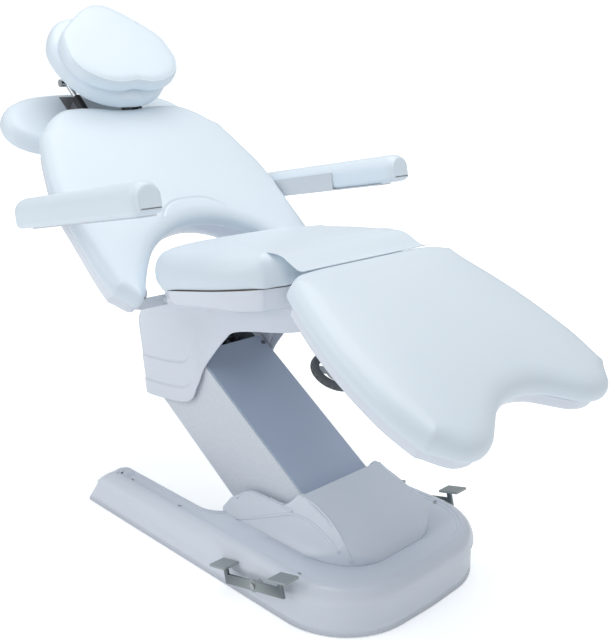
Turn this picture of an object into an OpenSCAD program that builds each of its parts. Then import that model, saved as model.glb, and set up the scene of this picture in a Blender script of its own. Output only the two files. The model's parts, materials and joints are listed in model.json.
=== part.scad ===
// Motor-lifted massage bed: a two-legged floor base, a leaning lift column, and a seat that
// carries a backrest with a head cradle, two swing-up armrests and a leg rest.
// +X runs to the foot end, +Y to the sitter's left, +Z up; the floor is z = 0.

/* [Base] */
// Width over the two base legs
base_w = 590; // [540:1:680]
// Width of each base leg
base_leg_w = 80; // [70:1:100]
// Reach of the base legs behind the origin
base_rear = 546; // [480:1:640]
// Reach of the base toe in front of the origin
base_toe = 552; // [500:1:640]
// Radius of the toe corners in plan
toe_r = 195; // [120:1:230]
// Front end of the notch between the legs
notch_x = 10; // [0:1:30]
// Radius of the notch corners
notch_r = 80; // [50:1:84]
// Height of the straight base wall
wall_h = 75; // [60:1:85]
// Height of the base deck
deck_h = 119; // [105:1:130]
// Width of the rounded shoulder round the deck
shoulder = 26; // [15:1:32]
// Thickness of the steel floor plate
plate_t = 8; // [5:1:12]
// Wall of the moulded covers
cover_wall = 4; // [3:0.5:5]

/* [Lift] */
// Height of the lift arm's lower pivot
lift_z = 95; // [90:1:110]
// Lower pivot in front of the origin
lift_x = 94; // [80:1:110]
// Length of the lift arm between its pivots
arm_l = 540; // [480:1:600]
// Slope of the lift arm
arm_angle = 33.5; // [28:0.5:38]
// Upper link pivots in front of the arm pivots
link_dx = 70; // [60:1:75]
// Upper link pivots above the arm pivots
link_dz = 95; // [88:1:98]
// Diameter of the lift pivots
pivot_d = 24; // [18:1:28]
// Width of the column casing
column_w = 243; // [240:1:248]
// Casing depth in front of the arm's centre line
column_front = 182; // [170:1:190]
// Casing depth behind the arm's centre line
column_back = 55; // [50:1:60]
// Sheet thickness of the casing
sheet = 3; // [2:0.5:4]

/* [Seat] */
// Backward tilt of the seat
seat_tilt = 9; // [0:0.5:12]
// Seat tilt pivot in front of the arm's upper pivot
carriage_reach = 296; // [280:1:310]
// Seat tilt pivot above the arm's upper pivot
carriage_rise = 272; // [262:1:290]
// Width of the seat cushion
seat_w = 600; // [540:1:620]
// Length of the seat cushion
seat_l = 500; // [470:1:520]
// Thickness of the seat cushion at its rear
seat_t = 100; // [85:1:110]
// Rear edge of the seat cushion behind the tilt pivot
seat_rear = 161; // [150:1:165]
// Depth of the tray under the seat cushion
tray_h = 32; // [24:1:40]

/* [Backrest] */
// Angle between the seat and the backrest
back_angle = 49.85; // [40:0.05:60]
// Width of the backrest
back_w = 748; // [700:1:750]
// Length of the backrest
back_l = 700; // [660:1:740]
// Thickness of the backrest cushion
back_t = 45; // [35:1:50]
// Depth of the backrest shell
shell_t = 73; // [66:1:80]
// Backrest hinge behind the seat tilt pivot
back_hinge_x = 196.5; // [190:0.5:205]
// Backrest hinge above the seat tilt pivot
back_hinge_z = 50.4; // [46:0.1:56]

/* [Head end] */
// Lean of the headrest against the backrest
head_angle = 7.05; // [0:0.05:15]
// Width of the face pillow
pillow_w = 372; // [330:1:390]
// Length of the face pillow
pillow_l = 304; // [280:1:320]
// Thickness of the face pillow
pillow_t = 43; // [32:1:44]
// Width of the headrest cushion
head_w = 376; // [340:1:390]
// Length of the headrest cushion
head_l = 314; // [290:1:330]
// Thickness of the headrest cushion
head_t = 60; // [50:1:64]
// Distance between the headrest rods
rod_gap = 190; // [160:1:220]
// Diameter of the headrest rods
rod_d = 16; // [12:1:18]
// Width of the shelf cushion behind the backrest
shelf_w = 650; // [560:1:680]
// Length of the shelf cushion along the backrest
shelf_l = 228; // [200:1:240]
// Thickness of the shelf cushion
shelf_t = 60; // [45:1:70]

/* [Armrests] */
// Length of an armrest pad
pad_l = 590; // [500:1:600]
// Width of an armrest pad
pad_w = 80; // [65:1:95]
// Height of an armrest pad
pad_h = 78; // [60:1:85]
// Rise of the armrest pads to the front
pad_slope = 10; // [5:0.5:14]

/* [Leg rest] */
// Angle between the seat and the leg rest
leg_angle = 35.65; // [25:0.05:45]
// Width of the leg rest
leg_w = 684; // [620:1:700]
// Length of the leg rest
leg_l = 573; // [540:1:600]
// Thickness of the leg cushion
leg_t = 50; // [40:1:56]
// Leg rest hinge in front of the seat tilt pivot
leg_hinge_x = 371; // [366:1:378]
// Leg rest hinge above the seat tilt pivot
leg_hinge_z = 42.5; // [40:0.5:46]
// Diameter of the hand wheel
wheel_d = 120; // [100:1:130]

/* [Pedals] */
// Pedal shaft in front of the origin
pedal_x = 265; // [255:1:275]
// Height of the pedal shaft
pedal_z = 73; // [66:1:78]
// Diameter of the pedal shaft
pedal_d = 16; // [12:1:18]

/* [Hidden] */

// Shared fits and small sizes
over = 1;             // overrun of a cut past its face
run = 0.05;           // radial running clearance of a pivot
clear = 1;            // gap beside a moving plate
gap = 0.4;            // gap between neighbouring soft pieces
tiny = 0.01;          // least radius of a rounded corner
fine = 48;            // facets of round metal parts
arc = 6;              // steps of a rounded corner in a moulded outline

// Outlines and solids of moulded and upholstered pieces

// Unit step from one point to the next
function along(a, b) = (b - a) / norm(b - a);
// Direction a quarter turn to the left
function left(d) = [-d[1], d[0]];
// Item i of a closed list
function wrap(p, i) = p[(i + len(p)) % len(p)];
// Closed outline moved inward by d, with mitred corners
function inset(p, d) = [
  for (i = [0 : len(p) - 1])
    let (a = left(along(wrap(p, i - 1), p[i])), b = left(along(p[i], wrap(p, i + 1))))
      p[i] + d * (a + b) / max(1 + a * b, 0.6)
];
// Outline whose corners [x, y, radius] are rounded
function rounded(c, steps = arc) = [
  for (i = [0 : len(c) - 1])
    let (
      p = [c[i][0], c[i][1]],
      before = wrap(c, i - 1),
      after = wrap(c, i + 1),
      d1 = along([before[0], before[1]], p),
      d2 = along(p, [after[0], after[1]]),
      side = sign(cross(d1, d2)),
      turn = acos(d1 * d2),
      r = max(c[i][2], tiny),
      start = p - r * tan(turn / 2) * d1,
      m = start + side * r * left(d1),
      a0 = atan2(start[1] - m[1], start[0] - m[0])
    )
      for (k = [0 : steps])
        m + r * [cos(a0 + side * turn * k / steps), sin(a0 + side * turn * k / steps)]
];
// Smooth value of an even table at share t of its length
function ease(list, t) =
  let (
    n = len(list) - 1,
    f = min(max(t, 0), 1) * n,
    i = min(floor(f), n - 1),
    w = f - i,
    a = list[max(i - 1, 0)],
    b = list[i],
    c = list[i + 1],
    d = list[min(i + 2, n)]
  )
    b + 0.5 * w * (c - a + w * (2 * a - 5 * b + 4 * c - d + w * (3 * (b - c) + d - a)));
// Closed smooth curve through points, with k steps between neighbours
function curve(p, k) = [
  for (i = [0 : len(p) - 1])
    let (a = wrap(p, i - 1), b = p[i], c = wrap(p, i + 1), d = wrap(p, i + 2))
      for (j = [0 : k - 1])
        let (w = j / k)
          b + 0.5 * w * (c - a + w * (2 * a - 5 * b + 4 * c - d + w * (3 * (b - c) + d - a)))
];
// Both halves of an outline given as [along, half width] shares, from one end to the other
function mirrored(half, length, width, way) =
  let (
    right_side = [for (q = half) [way * q[0] * length, -way * q[1] * width]],
    last = len(half) - 1,
    from = half[last][1] == 0 ? last - 1 : last,
    to = half[0][1] == 0 ? 1 : 0
  )
    concat(right_side, [for (i = [from : -1 : to]) [right_side[i][0], -right_side[i][1]]]);
// Point of a panel outline at u across (-1 to 1) and v along (0 to 1)
function spot(u, v, w, l, sides, near, far, way) =
  let (a = ease(near, abs(u)), b = ease(far, abs(u)), s = a + v * (b - a))
    [way * s * l, -way * u * ease(sides, s) * w / 2];
// Closed outline of an upholstered panel with shaped sides and ends
function panel(w, l, sides, near, far, way, n, m) = concat(
  [for (k = [0 : n - 1]) spot(sin(90 * (2 * k / n - 1)), 0, w, l, sides, near, far, way)],
  [for (k = [0 : m - 1]) spot(1, k / m, w, l, sides, near, far, way)],
  [for (k = [0 : n - 1]) spot(-sin(90 * (2 * k / n - 1)), 1, w, l, sides, near, far, way)],
  [for (k = [0 : m - 1]) spot(-1, 1 - k / m, w, l, sides, near, far, way)]
);
// Solid through closed rings of equal count, listed from the lowest up
module stack(rings) {
  n = len(rings[0]);
  m = len(rings);
  polyhedron(
    points = [for (r = rings) each r],
    faces = concat(
      [[for (i = [0 : n - 1]) i]],
      [for (j = [0 : m - 2]) for (i = [0 : n - 1])
        [j * n + i, (j + 1) * n + i, (j + 1) * n + (i + 1) % n]],
      [for (j = [0 : m - 2]) for (i = [0 : n - 1])
        [j * n + i, (j + 1) * n + (i + 1) % n, j * n + (i + 1) % n]],
      [[for (i = [n - 1 : -1 : 0]) (m - 1) * n + i]]
    )
  );
}
// Ring of an outline at a height
function raised(loop, z) = [for (q = loop) [q[0], q[1], z]];
crown = 2;            // rise of a wide cushion's face from one inner ring to the next
// Section of a padded edge: share of the thickness, share of the edge radius
edge_form_shares = [
  [0, 0.3], [0.1, 0.08], [0.3, 0], [0.55, 0.01], [0.68, 0.06], [0.8, 0.17], [0.9, 0.38], [0.97, 0.68],
  [1, 1]
];
// Cushion with a drawn-in foot and a rounded top edge; loop(d) is its plan drawn in by d.
// Its front end may be thinner by drop. Each of the inner distances crowns it by one more step.
module cushion(loop, low, t, edge, drop = 0, drop_l = 1, drop_x = 0, inner = []) {
  last = len(inner) - 1;
  stack(concat(
    [for (k = [last : -1 : 0]) raised(loop(inner[k]), low + (k + 1) * crown)],
    [for (f = edge_form_shares)
      [for (q = loop(f[1] * edge)) [q[0], q[1], low + f[0] * (t - drop * (q[0] - drop_x) / drop_l)]]],
    [for (k = [0 : 1 : last]) raised(loop(inner[k]), low + t + (k + 1) * crown)]
  ));
}
// Open tray with a wall, as [height, distance drawn in] steps from the floor up of the plan loop(d)
module tray(loop, steps, wall) {
  last = len(steps) - 1;
  stack(concat(
    [for (f = steps) raised(loop(f[1]), f[0])],
    [for (k = [last : -1 : 0]) raised(loop(steps[k][1] + wall), steps[k][0] + (k == 0 ? wall : 0))]
  ));
}
// Panel outline drawn in by d at its sides and both ends
function drawn(w, l, sides, near, far, way, n, m, d) =
  panel(w - 2 * d, l, sides, [for (f = near) f + d / l], [for (f = far) f - d / l], way, n, m);
// Rod along Y between two places
module cross_rod(x, z, y0, y1, d) {
  translate([x, y0, z])
    rotate([-90, 0, 0])
      cylinder(d = d, h = y1 - y0, $fn = fine);
}
// Plate of a side outline between two places across
module side_plate(points, y0, y1) {
  translate([0, y1, 0])
    rotate([90, 0, 0])
      linear_extrude(height = y1 - y0)
        polygon(points);
}
// Box between two corners
module block(x0, x1, y0, y1, z0, z1) {
  translate([x0, y0, z0])
    cube([x1 - x0, y1 - y0, z1 - z0]);
}
// Both mirrored sides of a piece
module both() {
  children();
  mirror([0, 1, 0])
    children();
}
// Outline of a list of [x, z] shares of two sizes
function sized(shares, a, b) = [for (s = shares) [s[0] * a, s[1] * b]];

// Places of the moving frames
upper_x = lift_x - arm_l * cos(arm_angle);
upper_z = lift_z + arm_l * sin(arm_angle);
tilt_x = upper_x + carriage_reach;
tilt_z = upper_z + carriage_rise;
module at_arm() {
  translate([lift_x, 0, lift_z])
    rotate([0, arm_angle, 0])
      children();
}
module at_link() {
  translate([lift_x + link_dx, 0, lift_z + link_dz])
    rotate([0, arm_angle, 0])
      children();
}
module at_upper() {
  translate([upper_x, 0, upper_z])
    children();
}
module at_seat() {
  translate([tilt_x, 0, tilt_z])
    rotate([0, -seat_tilt, 0])
      children();
}
module at_back() {
  at_seat()
    translate([-back_hinge_x, 0, back_hinge_z])
      rotate([0, back_angle, 0])
        children();
}
module at_leg() {
  at_seat()
    translate([leg_hinge_x, 0, leg_hinge_z])
      rotate([0, leg_angle, 0])
        children();
}

// Base
half_w = base_w / 2;
leg_in = half_w - base_leg_w;
toe_bow = 12;         // how far the middle of the toe stands out
toe_bow_r = 900;      // radius of the toe's middle
heel_r = 33;          // radius of the leg ends in plan
cover_foot = 3;       // gap between the cover's foot and the floor
// Plan of the base, with the notch between its legs
base_plan = rounded([
  [-base_rear, -half_w, heel_r],
  [base_toe - toe_bow, -half_w, toe_r],
  [base_toe, 0, toe_bow_r],
  [base_toe - toe_bow, half_w, toe_r],
  [-base_rear, half_w, heel_r],
  [-base_rear, leg_in, heel_r],
  [notch_x, leg_in, notch_r],
  [notch_x, -leg_in, notch_r],
  [-base_rear, -leg_in, heel_r]
]);
rail_w = 34;          // width of the base rails
rail_h = 30;          // height of the base rails
rail_y = half_w - base_leg_w / 2 - rail_w / 2;
rail_top = plate_t + rail_h;
heel_slope = 113;     // how far the top of a leg end leans forward
heel_low = 60;        // how far the shoulder of a leg end leans forward
ear_in = 84;          // inner face of the pivot ears
ear_t = 8;            // thickness of the pivot ears
ear_rear = 40;        // ear length behind the lower pivot
ear_front = 110;      // ear length in front of the lower pivot
ear_r = 24;           // radius of the ear round a pivot
slot_w = 260;         // opening of the deck round the column
slot_front = 230;     // front end of that opening
post_d = 18;          // cover posts
screw_d = 8;          // cover screws
screw_head = 14;
screw_head_t = 3;
heel_post = 335;      // rear cover post behind the origin
// Places of the cover posts
post_spots = [
  [-heel_post, 0],
  [-heel_post / 3, 0],
  [base_toe - toe_r, 0]
];
// Lift actuator's foot
foot_x = 20;
foot_z = 40;
foot_ear_in = 22;
foot_pin_d = 16;
rod_lug_t = 230;      // rod eye along the arm
rod_lug_h = 45;       // rod eye in front of the arm's centre line

module base_plate() {
  color("dimgray")
    difference() {
      linear_extrude(height = plate_t)
        polygon(inset(base_plan, cover_wall));
      translate([-base_rear - over, -half_w, -over])
        cube([heel_low / 3 + over, base_w, plate_t + 2 * over]);
    }
}
// Pivot ear of the base: an upright plate with the two lift pivots
module pivot_ear() {
  difference() {
    union() {
      block(lift_x - ear_rear, lift_x + ear_front, ear_in, ear_in + ear_t, plate_t, lift_z);
      hull() {
        cross_rod(lift_x, lift_z, ear_in, ear_in + ear_t, 2 * ear_r);
        cross_rod(lift_x + link_dx, lift_z + link_dz, ear_in, ear_in + ear_t, 2 * ear_r);
        block(lift_x - ear_r, lift_x + ear_front, ear_in, ear_in + ear_t, plate_t, lift_z - ear_r);
      }
    }
    cross_rod(lift_x, lift_z, ear_in - over, ear_in + ear_t + over, pivot_d);
    cross_rod(lift_x + link_dx, lift_z + link_dz, ear_in - over, ear_in + ear_t + over, pivot_d);
  }
}
cross_rear = 110;     // rear cross member
cross_front = 330;    // front cross member
cross_w = 40;
module base_frame() {
  rear = -base_rear + heel_slope;
  color("dimgray")
    difference() {
      union() {
        both() {
          block(rear, base_toe - toe_r, rail_y, rail_y + rail_w, plate_t, rail_top);
          pivot_ear();
          for (p = post_spots)
            translate([p[0], rail_y + rail_w / 2, plate_t])
              cylinder(d = post_d, h = deck_h - cover_wall - plate_t, $fn = fine);
          block(foot_x - pivot_d, foot_x + pivot_d, foot_ear_in, foot_ear_in + ear_t,
            plate_t, foot_z + pivot_d);
        }
        block(cross_rear, cross_rear + cross_w, -rail_y, rail_y, plate_t, plate_t + rail_h / 2);
        block(cross_front, cross_front + cross_w, -rail_y, rail_y, plate_t, rail_top);
      }
      cross_rod(foot_x, foot_z, -foot_ear_in - 2 * ear_t, foot_ear_in + 2 * ear_t, foot_pin_d);
      both()
        for (p = post_spots)
          translate([p[0], rail_y + rail_w / 2, deck_h - shoulder - cover_wall])
            cylinder(d = screw_d, h = shoulder + cover_wall + over, $fn = fine);
    }
}
pin_head = 4;         // thickness of a pin's head
pin_head_d = 34;
arm_plate_in = 68;    // inner face of the arm plates
arm_plate_t = 8;
link_in = 44;         // inner face of the upper link bars
link_t = 10;
// Stub pins of one end of the lift: the arm's pivot and the link's pivot
module lift_pins() {
  both() {
    cross_rod(0, 0, arm_plate_in - pin_head, ear_in + ear_t + pin_head, pivot_d);
    cross_rod(0, 0, ear_in + ear_t, ear_in + ear_t + pin_head, pin_head_d);
    cross_rod(0, 0, arm_plate_in - 2 * pin_head, arm_plate_in - clear, pin_head_d);
    translate([link_dx, 0, link_dz]) {
      cross_rod(0, 0, link_in - pin_head, ear_in + ear_t + pin_head, pivot_d);
      cross_rod(0, 0, ear_in + ear_t, ear_in + ear_t + pin_head, pin_head_d);
      cross_rod(0, 0, link_in - 2 * pin_head, link_in - clear, pin_head_d);
    }
  }
}
module lift_pivot_pins() {
  color("silver") {
    translate([lift_x, 0, lift_z])
      lift_pins();
    cross_rod(foot_x, foot_z, -foot_ear_in - 2 * ear_t, foot_ear_in + 2 * ear_t, foot_pin_d);
  }
}
// Closed form of the base cover with its rolled shoulder, drawn in by d
module base_mould(d) {
  levels = concat(
    [[d > 0 ? -over : cover_foot, d], [wall_h - shoulder / 3, d]],
    [for (a = [0 : 15 : 90]) [
      wall_h - d + (deck_h - wall_h) * sin(a),
      d + shoulder * (1 - cos(a))
    ]]
  );
  stack([for (f = levels) raised(inset(base_plan, f[1]), f[0])]);
}
// Leaning ends of the legs, cut off behind this side outline
module heel_cut(d) {
  side_plate([
    [-base_rear + d, -2 * over],
    [-base_rear + heel_low + d, wall_h],
    [-base_rear + heel_slope + d, deck_h + over],
    [base_toe + over, deck_h + over],
    [base_toe + over, -2 * over]
  ], -half_w - over, half_w + over);
}
module base_cover() {
  color("white")
    difference() {
      intersection() {
        base_mould(0);
        heel_cut(0);
      }
      intersection() {
        base_mould(cover_wall);
        heel_cut(cover_wall);
      }
      block(-base_rear, slot_front, -slot_w / 2, slot_w / 2, -over, deck_h + over);
      both() {
        cross_rod(pedal_x, pedal_z, half_w - shoulder, half_w + over, pedal_d + 2 * pin_head);
        translate([0, rail_y + rail_w / 2, 0])
          for (p = post_spots)
            translate([p[0], 0, deck_h - 2 * cover_wall])
              cylinder(d = screw_d, h = 3 * cover_wall, $fn = fine);
      }
      block(inlet_x, inlet_x + inlet_l, -leg_in - shoulder, -leg_in + over, inlet_z, inlet_z + inlet_h);
    }
}
module cover_screws() {
  color("dimgray")
    both()
      for (p = post_spots)
        translate([p[0], rail_y + rail_w / 2, 0]) {
          translate([0, 0, deck_h - shoulder])
            cylinder(d = screw_d, h = shoulder, $fn = fine);
          translate([0, 0, deck_h])
            cylinder(d = screw_head, h = screw_head_t, $fn = fine);
        }
}
// Hood round the foot of the column
hood_l = 477;         // length of the hood with its side pods
hood_x = 25;          // reach of the pods behind the origin
hood_h = 120;         // height of the hood's edge above the deck
hood_w = 380;         // width of the hood on the deck
hood_gap = 9;         // gap between the hood's edge and the turning front plate
// Side outline of the hood, as shares of its length and height
hood_side_shares = [
  [0, 0], [1, 0], [0.982, 0.13], [0.943, 0.3], [0.87, 0.55], [0.713, 0.81], [0.566, 1],
  [0.536, 0.96], [0.5, 0.8], [0.44, 0.61], [0.39, 0.565], [0.28, 0.55], [0.157, 0.51],
  [0.094, 0.4], [0.04, 0.26]
];
// Front outline of the hood, as shares of its half width and height
hood_front_shares = [
  [-1, -0.1], [1, -0.1], [1, 0], [0.93, 0.15], [0.84, 0.42], [0.79, 0.7], [0.76, 1.1],
  [-0.76, 1.1], [-0.79, 0.7], [-0.84, 0.42], [-0.93, 0.15], [-1, 0]
];
// Plan of the hood, as shares of its length and half width
hood_plan_shares = [
  [-0.02, -0.82], [0.08, -1.02], [0.6, -1.02], [0.84, -0.9], [0.955, -0.68], [1.01, -0.35],
  [1.01, 0.35], [0.955, 0.68], [0.84, 0.9], [0.6, 1.02], [0.08, 1.02], [-0.02, 0.82]
];
module hood_form(d) {
  intersection() {
    translate([-hood_x, 0, deck_h - (d > 0 ? over : 0)])
      side_plate(inset(sized(hood_side_shares, hood_l, hood_h), d), -hood_w, hood_w);
    translate([-hood_x - over, 0, deck_h])
      rotate([90, 0, 90])
        linear_extrude(height = hood_l + 2 * over)
          polygon(inset(sized(hood_front_shares, hood_w / 2, hood_h), d));
    translate([-hood_x, 0, deck_h - 2 * over - d])
      linear_extrude(height = hood_h + 2 * shoulder)
        polygon(inset(sized(hood_plan_shares, hood_l, hood_w / 2), d));
  }
}
plate_end_t = 75;     // front plate's reach below the lower pivot
sweep_r = sqrt(plate_end_t * plate_end_t + column_front * column_front);
module column_cowl() {
  color("white")
    difference() {
      hood_form(0);
      difference() {
        hood_form(cover_wall);
        block(-base_rear, base_toe, slot_w / 2 - over, slot_w / 2 + cover_wall, deck_h - over,
          lift_z + 2 * hood_h);
        mirror([0, 1, 0])
          block(-base_rear, base_toe, slot_w / 2 - over, slot_w / 2 + cover_wall, deck_h - over,
            lift_z + 2 * hood_h);
      }
      cross_rod(lift_x, lift_z, -slot_w / 2, slot_w / 2, 2 * (sweep_r + hood_gap));
      block(-base_rear, lift_x, -slot_w / 2, slot_w / 2, deck_h - over, lift_z + 2 * hood_h);
      block(-hood_x - over, base_toe, -hood_w, hood_w, deck_h - hood_h, deck_h);
    }
}
box_l = 90;           // control box
box_w = 160;
box_h = 50;
box_x = 400;
module control_box() {
  color("dimgray")
    block(box_x, box_x + box_l, -box_w / 2, box_w / 2, plate_t, plate_t + box_h);
}
inlet_x = -140;       // mains inlet in the inner wall of the right leg
inlet_l = 48;
inlet_h = 28;
inlet_z = 40;
inlet_t = 20;
inlet_well = 12;
module mains_inlet() {
  color("black")
    difference() {
      block(inlet_x, inlet_x + inlet_l, -leg_in - inlet_t, -leg_in, inlet_z, inlet_z + inlet_h);
      block(inlet_x + cover_wall, inlet_x + inlet_l - cover_wall, -leg_in - inlet_well, -leg_in + over,
        inlet_z + cover_wall, inlet_z + inlet_h - cover_wall);
    }
}

// Pedals
bearing_l = 40;
bearing_t = 24;
module pedal_bearings() {
  color("gray")
    both()
      difference() {
        block(pedal_x - bearing_l / 2, pedal_x + bearing_l / 2, rail_y, rail_y + bearing_t,
          rail_top, pedal_z + pedal_d);
        cross_rod(pedal_x, pedal_z, rail_y - over, rail_y + bearing_t + over, pedal_d + 2 * run);
      }
}
pedal_in = 317;       // inner face of a pedal bar
pedal_t = 6;          // thickness of a pedal bar
pedal_rise = 14;      // slope of a pedal bar
bar_l = 216;          // length of a pedal bar
bar_h = 25;           // height of a pedal bar
tread_l = 46;         // length of a foot pad
tread_w = 44;         // width of a foot pad
tread_front = 130;    // front foot pad from the shaft
tread_rear = 121;     // rear foot pad from the shaft
riser = 34;           // height of the front foot pad over the bar
riser_w = 14;
switch_y = 60;        // place of the pedal switches
switch_l = 30;
switch_h = 22;
cam_reach = 30;
cam_t = 12;
module pedal_shaft() {
  color("silver")
    cross_rod(pedal_x, pedal_z, -pedal_in - pedal_t - pin_head, pedal_in + pedal_t + pin_head, pedal_d);
}
// Rocker pedal with a pad at each end
module pedal() {
  difference() {
    translate([pedal_x, 0, pedal_z])
      rotate([0, -pedal_rise, 0]) {
        block(-bar_l / 2, bar_l / 2, pedal_in, pedal_in + pedal_t, -bar_h / 2, bar_h / 2);
        cross_rod(0, 0, pedal_in, pedal_in + pedal_t, 2 * pedal_d);
        block(bar_l / 2 - riser_w, bar_l / 2, pedal_in, pedal_in + pedal_t, 0, riser);
        block(-bar_l / 2, -bar_l / 2 + riser_w, pedal_in, pedal_in + pedal_t, 0, riser);
        block(tread_front - tread_l, tread_front + tread_l / 3, pedal_in - tread_w / 2 + pedal_t / 2,
          pedal_in + tread_w / 2 + pedal_t / 2, riser, riser + pedal_t);
        block(-tread_rear - tread_l / 3, -tread_rear + tread_l, pedal_in - tread_w / 2 + pedal_t / 2,
          pedal_in + tread_w / 2 + pedal_t / 2, riser, riser + pedal_t);
      }
    cross_rod(pedal_x, pedal_z, pedal_in - over, pedal_in + pedal_t + over, pedal_d);
  }
}
module pedal_left() {
  color("slategray")
    pedal();
}
module pedal_right() {
  color("slategray")
    mirror([0, 1, 0])
      pedal();
}
module pedal_cam() {
  color("gray")
    difference() {
      union() {
        cross_rod(pedal_x, pedal_z, switch_y - cam_t / 2, switch_y + cam_t / 2, 2 * pedal_d);
        block(pedal_x - cam_reach, pedal_x + cam_reach, switch_y - cam_t / 2, switch_y + cam_t / 2,
          pedal_z - pedal_d / 2, pedal_z + pedal_d / 2);
      }
      cross_rod(pedal_x, pedal_z, switch_y - cam_t, switch_y + cam_t, pedal_d);
    }
}
cam_travel = 8;       // drop of the cam's end at full pedal travel
module pedal_switches() {
  color("black")
    for (way = [-1, 1])
      translate([pedal_x + way * (cam_reach + switch_l / 3), switch_y, 0])
        block(-switch_l / 2, switch_l / 2, -cam_t, cam_t, plate_t,
          pedal_z - pedal_d / 2 - cam_travel);
}

// Lift column
// The arm's own frame: it rises along -X from the lower pivot, +Z faces the foot end
arm_h = 70;           // height of the arm plates
arm_tie_d = 24;       // tubes that tie the plates
casing_l = 580;       // casing length above the lower pivot
plate_l = 469;        // front plate length above the lower pivot
rear_start = 130;     // where the rear wall starts above the lower pivot
casing_in = column_w / 2 - sheet;
casing_foot_r = 52;   // casing's round foot about the lower pivot
lug_r = 20;
// Places of the tubes that tie the arm plates and carry the casing
tie_spots = [[150, 0], [330, 0], [440, 0]];
module lift_arm_frame() {
  color("dimgray")
    at_arm()
      difference() {
        union() {
          both() {
            block(-arm_l, 0, arm_plate_in, arm_plate_in + arm_plate_t, -arm_h / 2, arm_h / 2);
            cross_rod(0, 0, arm_plate_in, arm_plate_in + arm_plate_t, arm_h);
            cross_rod(-arm_l, 0, arm_plate_in, arm_plate_in + arm_plate_t, arm_h);
            cross_rod(-rod_lug_t, rod_lug_h, arm_plate_in, arm_plate_in + arm_plate_t, 2 * lug_r);
          }
          for (p = [tie_spots[1], tie_spots[2]])
            cross_rod(-p[0], p[1], -casing_in, casing_in, arm_tie_d);
          both()
            cross_rod(-tie_spots[0][0], tie_spots[0][1], arm_plate_in, casing_in, arm_tie_d);
        }
        cross_rod(0, 0, -column_w, column_w, pivot_d + 2 * run);
        cross_rod(-arm_l, 0, -column_w, column_w, pivot_d + 2 * run);
        cross_rod(-rod_lug_t, rod_lug_h, -column_w, column_w, foot_pin_d);
      }
}
// Side outline of the casing in the arm's frame
casing_side = concat(
  [for (a = [-90 : 15 : 0]) [casing_foot_r * cos(a), casing_foot_r * sin(a)]],
  [
    [plate_end_t, column_front / 2],
    [plate_end_t, column_front - sheet],
    [-casing_l, column_front - sheet],
    [-casing_l, -column_back],
    [-rear_start, -column_back]
  ]
);
lip = 18;             // width of the casing's front flanges
module column_cover() {
  color("whitesmoke")
    at_arm()
      both() {
        side_plate(casing_side, casing_in, casing_in + sheet);
        block(-casing_l, plate_end_t, casing_in - lip, casing_in + over,
          column_front - 2 * sheet, column_front - sheet);
      }
}
plate_edge = 5.5;     // casing edge that shows beside the front plate
plate_r = 14;         // radius of the front plate's corners
plate_screw_d = 8;
module column_front_plate() {
  w = column_w / 2 - plate_edge;
  color("lightslategray")
    at_arm()
      difference() {
        translate([0, 0, column_front - sheet])
          linear_extrude(height = sheet)
            polygon(rounded([
              [plate_end_t, -w, tiny],
              [plate_end_t, w, tiny],
              [-plate_l, w, plate_r],
              [-plate_l, -w, plate_r]
            ]));
        both() {
          for (s = [[plate_end_t - 2 * plate_r, w - lip / 2],
              [-plate_l + 2 * plate_r, w - lip / 2]])
            translate([s[0], s[1], column_front - 2 * sheet])
              cylinder(d = plate_screw_d, h = 3 * sheet, $fn = fine);
        }
      }
}
module column_rear_cover() {
  color("whitesmoke")
    at_arm()
      difference() {
        block(-casing_l, -rear_start, -casing_in, casing_in, -column_back, -column_back + sheet);
        translate([-casing_l + lip, 0, -column_back - over])
          cylinder(r = lip / 2, h = sheet + 2 * over, $fn = fine);
      }
}
module column_screws() {
  w = column_w / 2 - plate_edge;
  color("silver")
    at_arm()
      both()
        for (s = [[plate_end_t - 2 * plate_r, w - lip / 2], [-plate_l + 2 * plate_r, w - lip / 2]])
          translate([s[0], s[1], column_front - sheet]) {
            cylinder(d = plate_screw_d, h = sheet, $fn = fine);
            translate([0, 0, sheet])
              cylinder(d = screw_head, h = screw_head_t / 2, $fn = fine);
          }
}
// Lift actuator, from its foot pin to the rod eye on the arm
eye_x = lift_x - rod_lug_t * cos(arm_angle) + rod_lug_h * sin(arm_angle);
eye_z = lift_z + rod_lug_t * sin(arm_angle) + rod_lug_h * cos(arm_angle);
act_l = norm([eye_x - foot_x, eye_z - foot_z]);
act_lean = atan2(eye_x - foot_x, eye_z - foot_z);
tube_d = 36;
tube_bore = 26;
tube_l = 132;
tube_floor = 30;
rod_l = 160;
act_rod_d = 16;
motor_d = 48;
motor_l = 108;
motor_off = 44;
eye_t = 30;
module at_actuator() {
  translate([foot_x, 0, foot_z])
    rotate([0, act_lean, 0])
      children();
}
module lift_motor() {
  color("gray")
    at_actuator()
      difference() {
        union() {
          cylinder(d = tube_d, h = tube_l, $fn = fine);
          cross_rod(0, 0, -foot_ear_in + clear, foot_ear_in - clear, tube_d);
          translate([motor_off, 0, tube_floor])
            cylinder(d = motor_d, h = motor_l, $fn = fine);
          block(0, motor_off, -tube_d / 2, tube_d / 2, tube_floor, tube_floor + tube_d);
        }
        translate([0, 0, tube_floor])
          cylinder(d = tube_bore, h = tube_l, $fn = fine);
        cross_rod(0, 0, -column_w, column_w, foot_pin_d + 2 * run);
      }
}
module lift_rod() {
  color("silver")
    at_actuator() {
      translate([0, 0, act_l - rod_l])
        cylinder(d = act_rod_d, h = rod_l - foot_pin_d / 2, $fn = fine);
      translate([0, 0, act_l])
        difference() {
          cross_rod(0, 0, -eye_t / 2, eye_t / 2, 2 * act_rod_d);
          cross_rod(0, 0, -eye_t, eye_t, foot_pin_d);
        }
      cross_rod(0, act_l, -arm_plate_in - arm_plate_t - pin_head, arm_plate_in + arm_plate_t + pin_head,
        foot_pin_d);
    }
}
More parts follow.
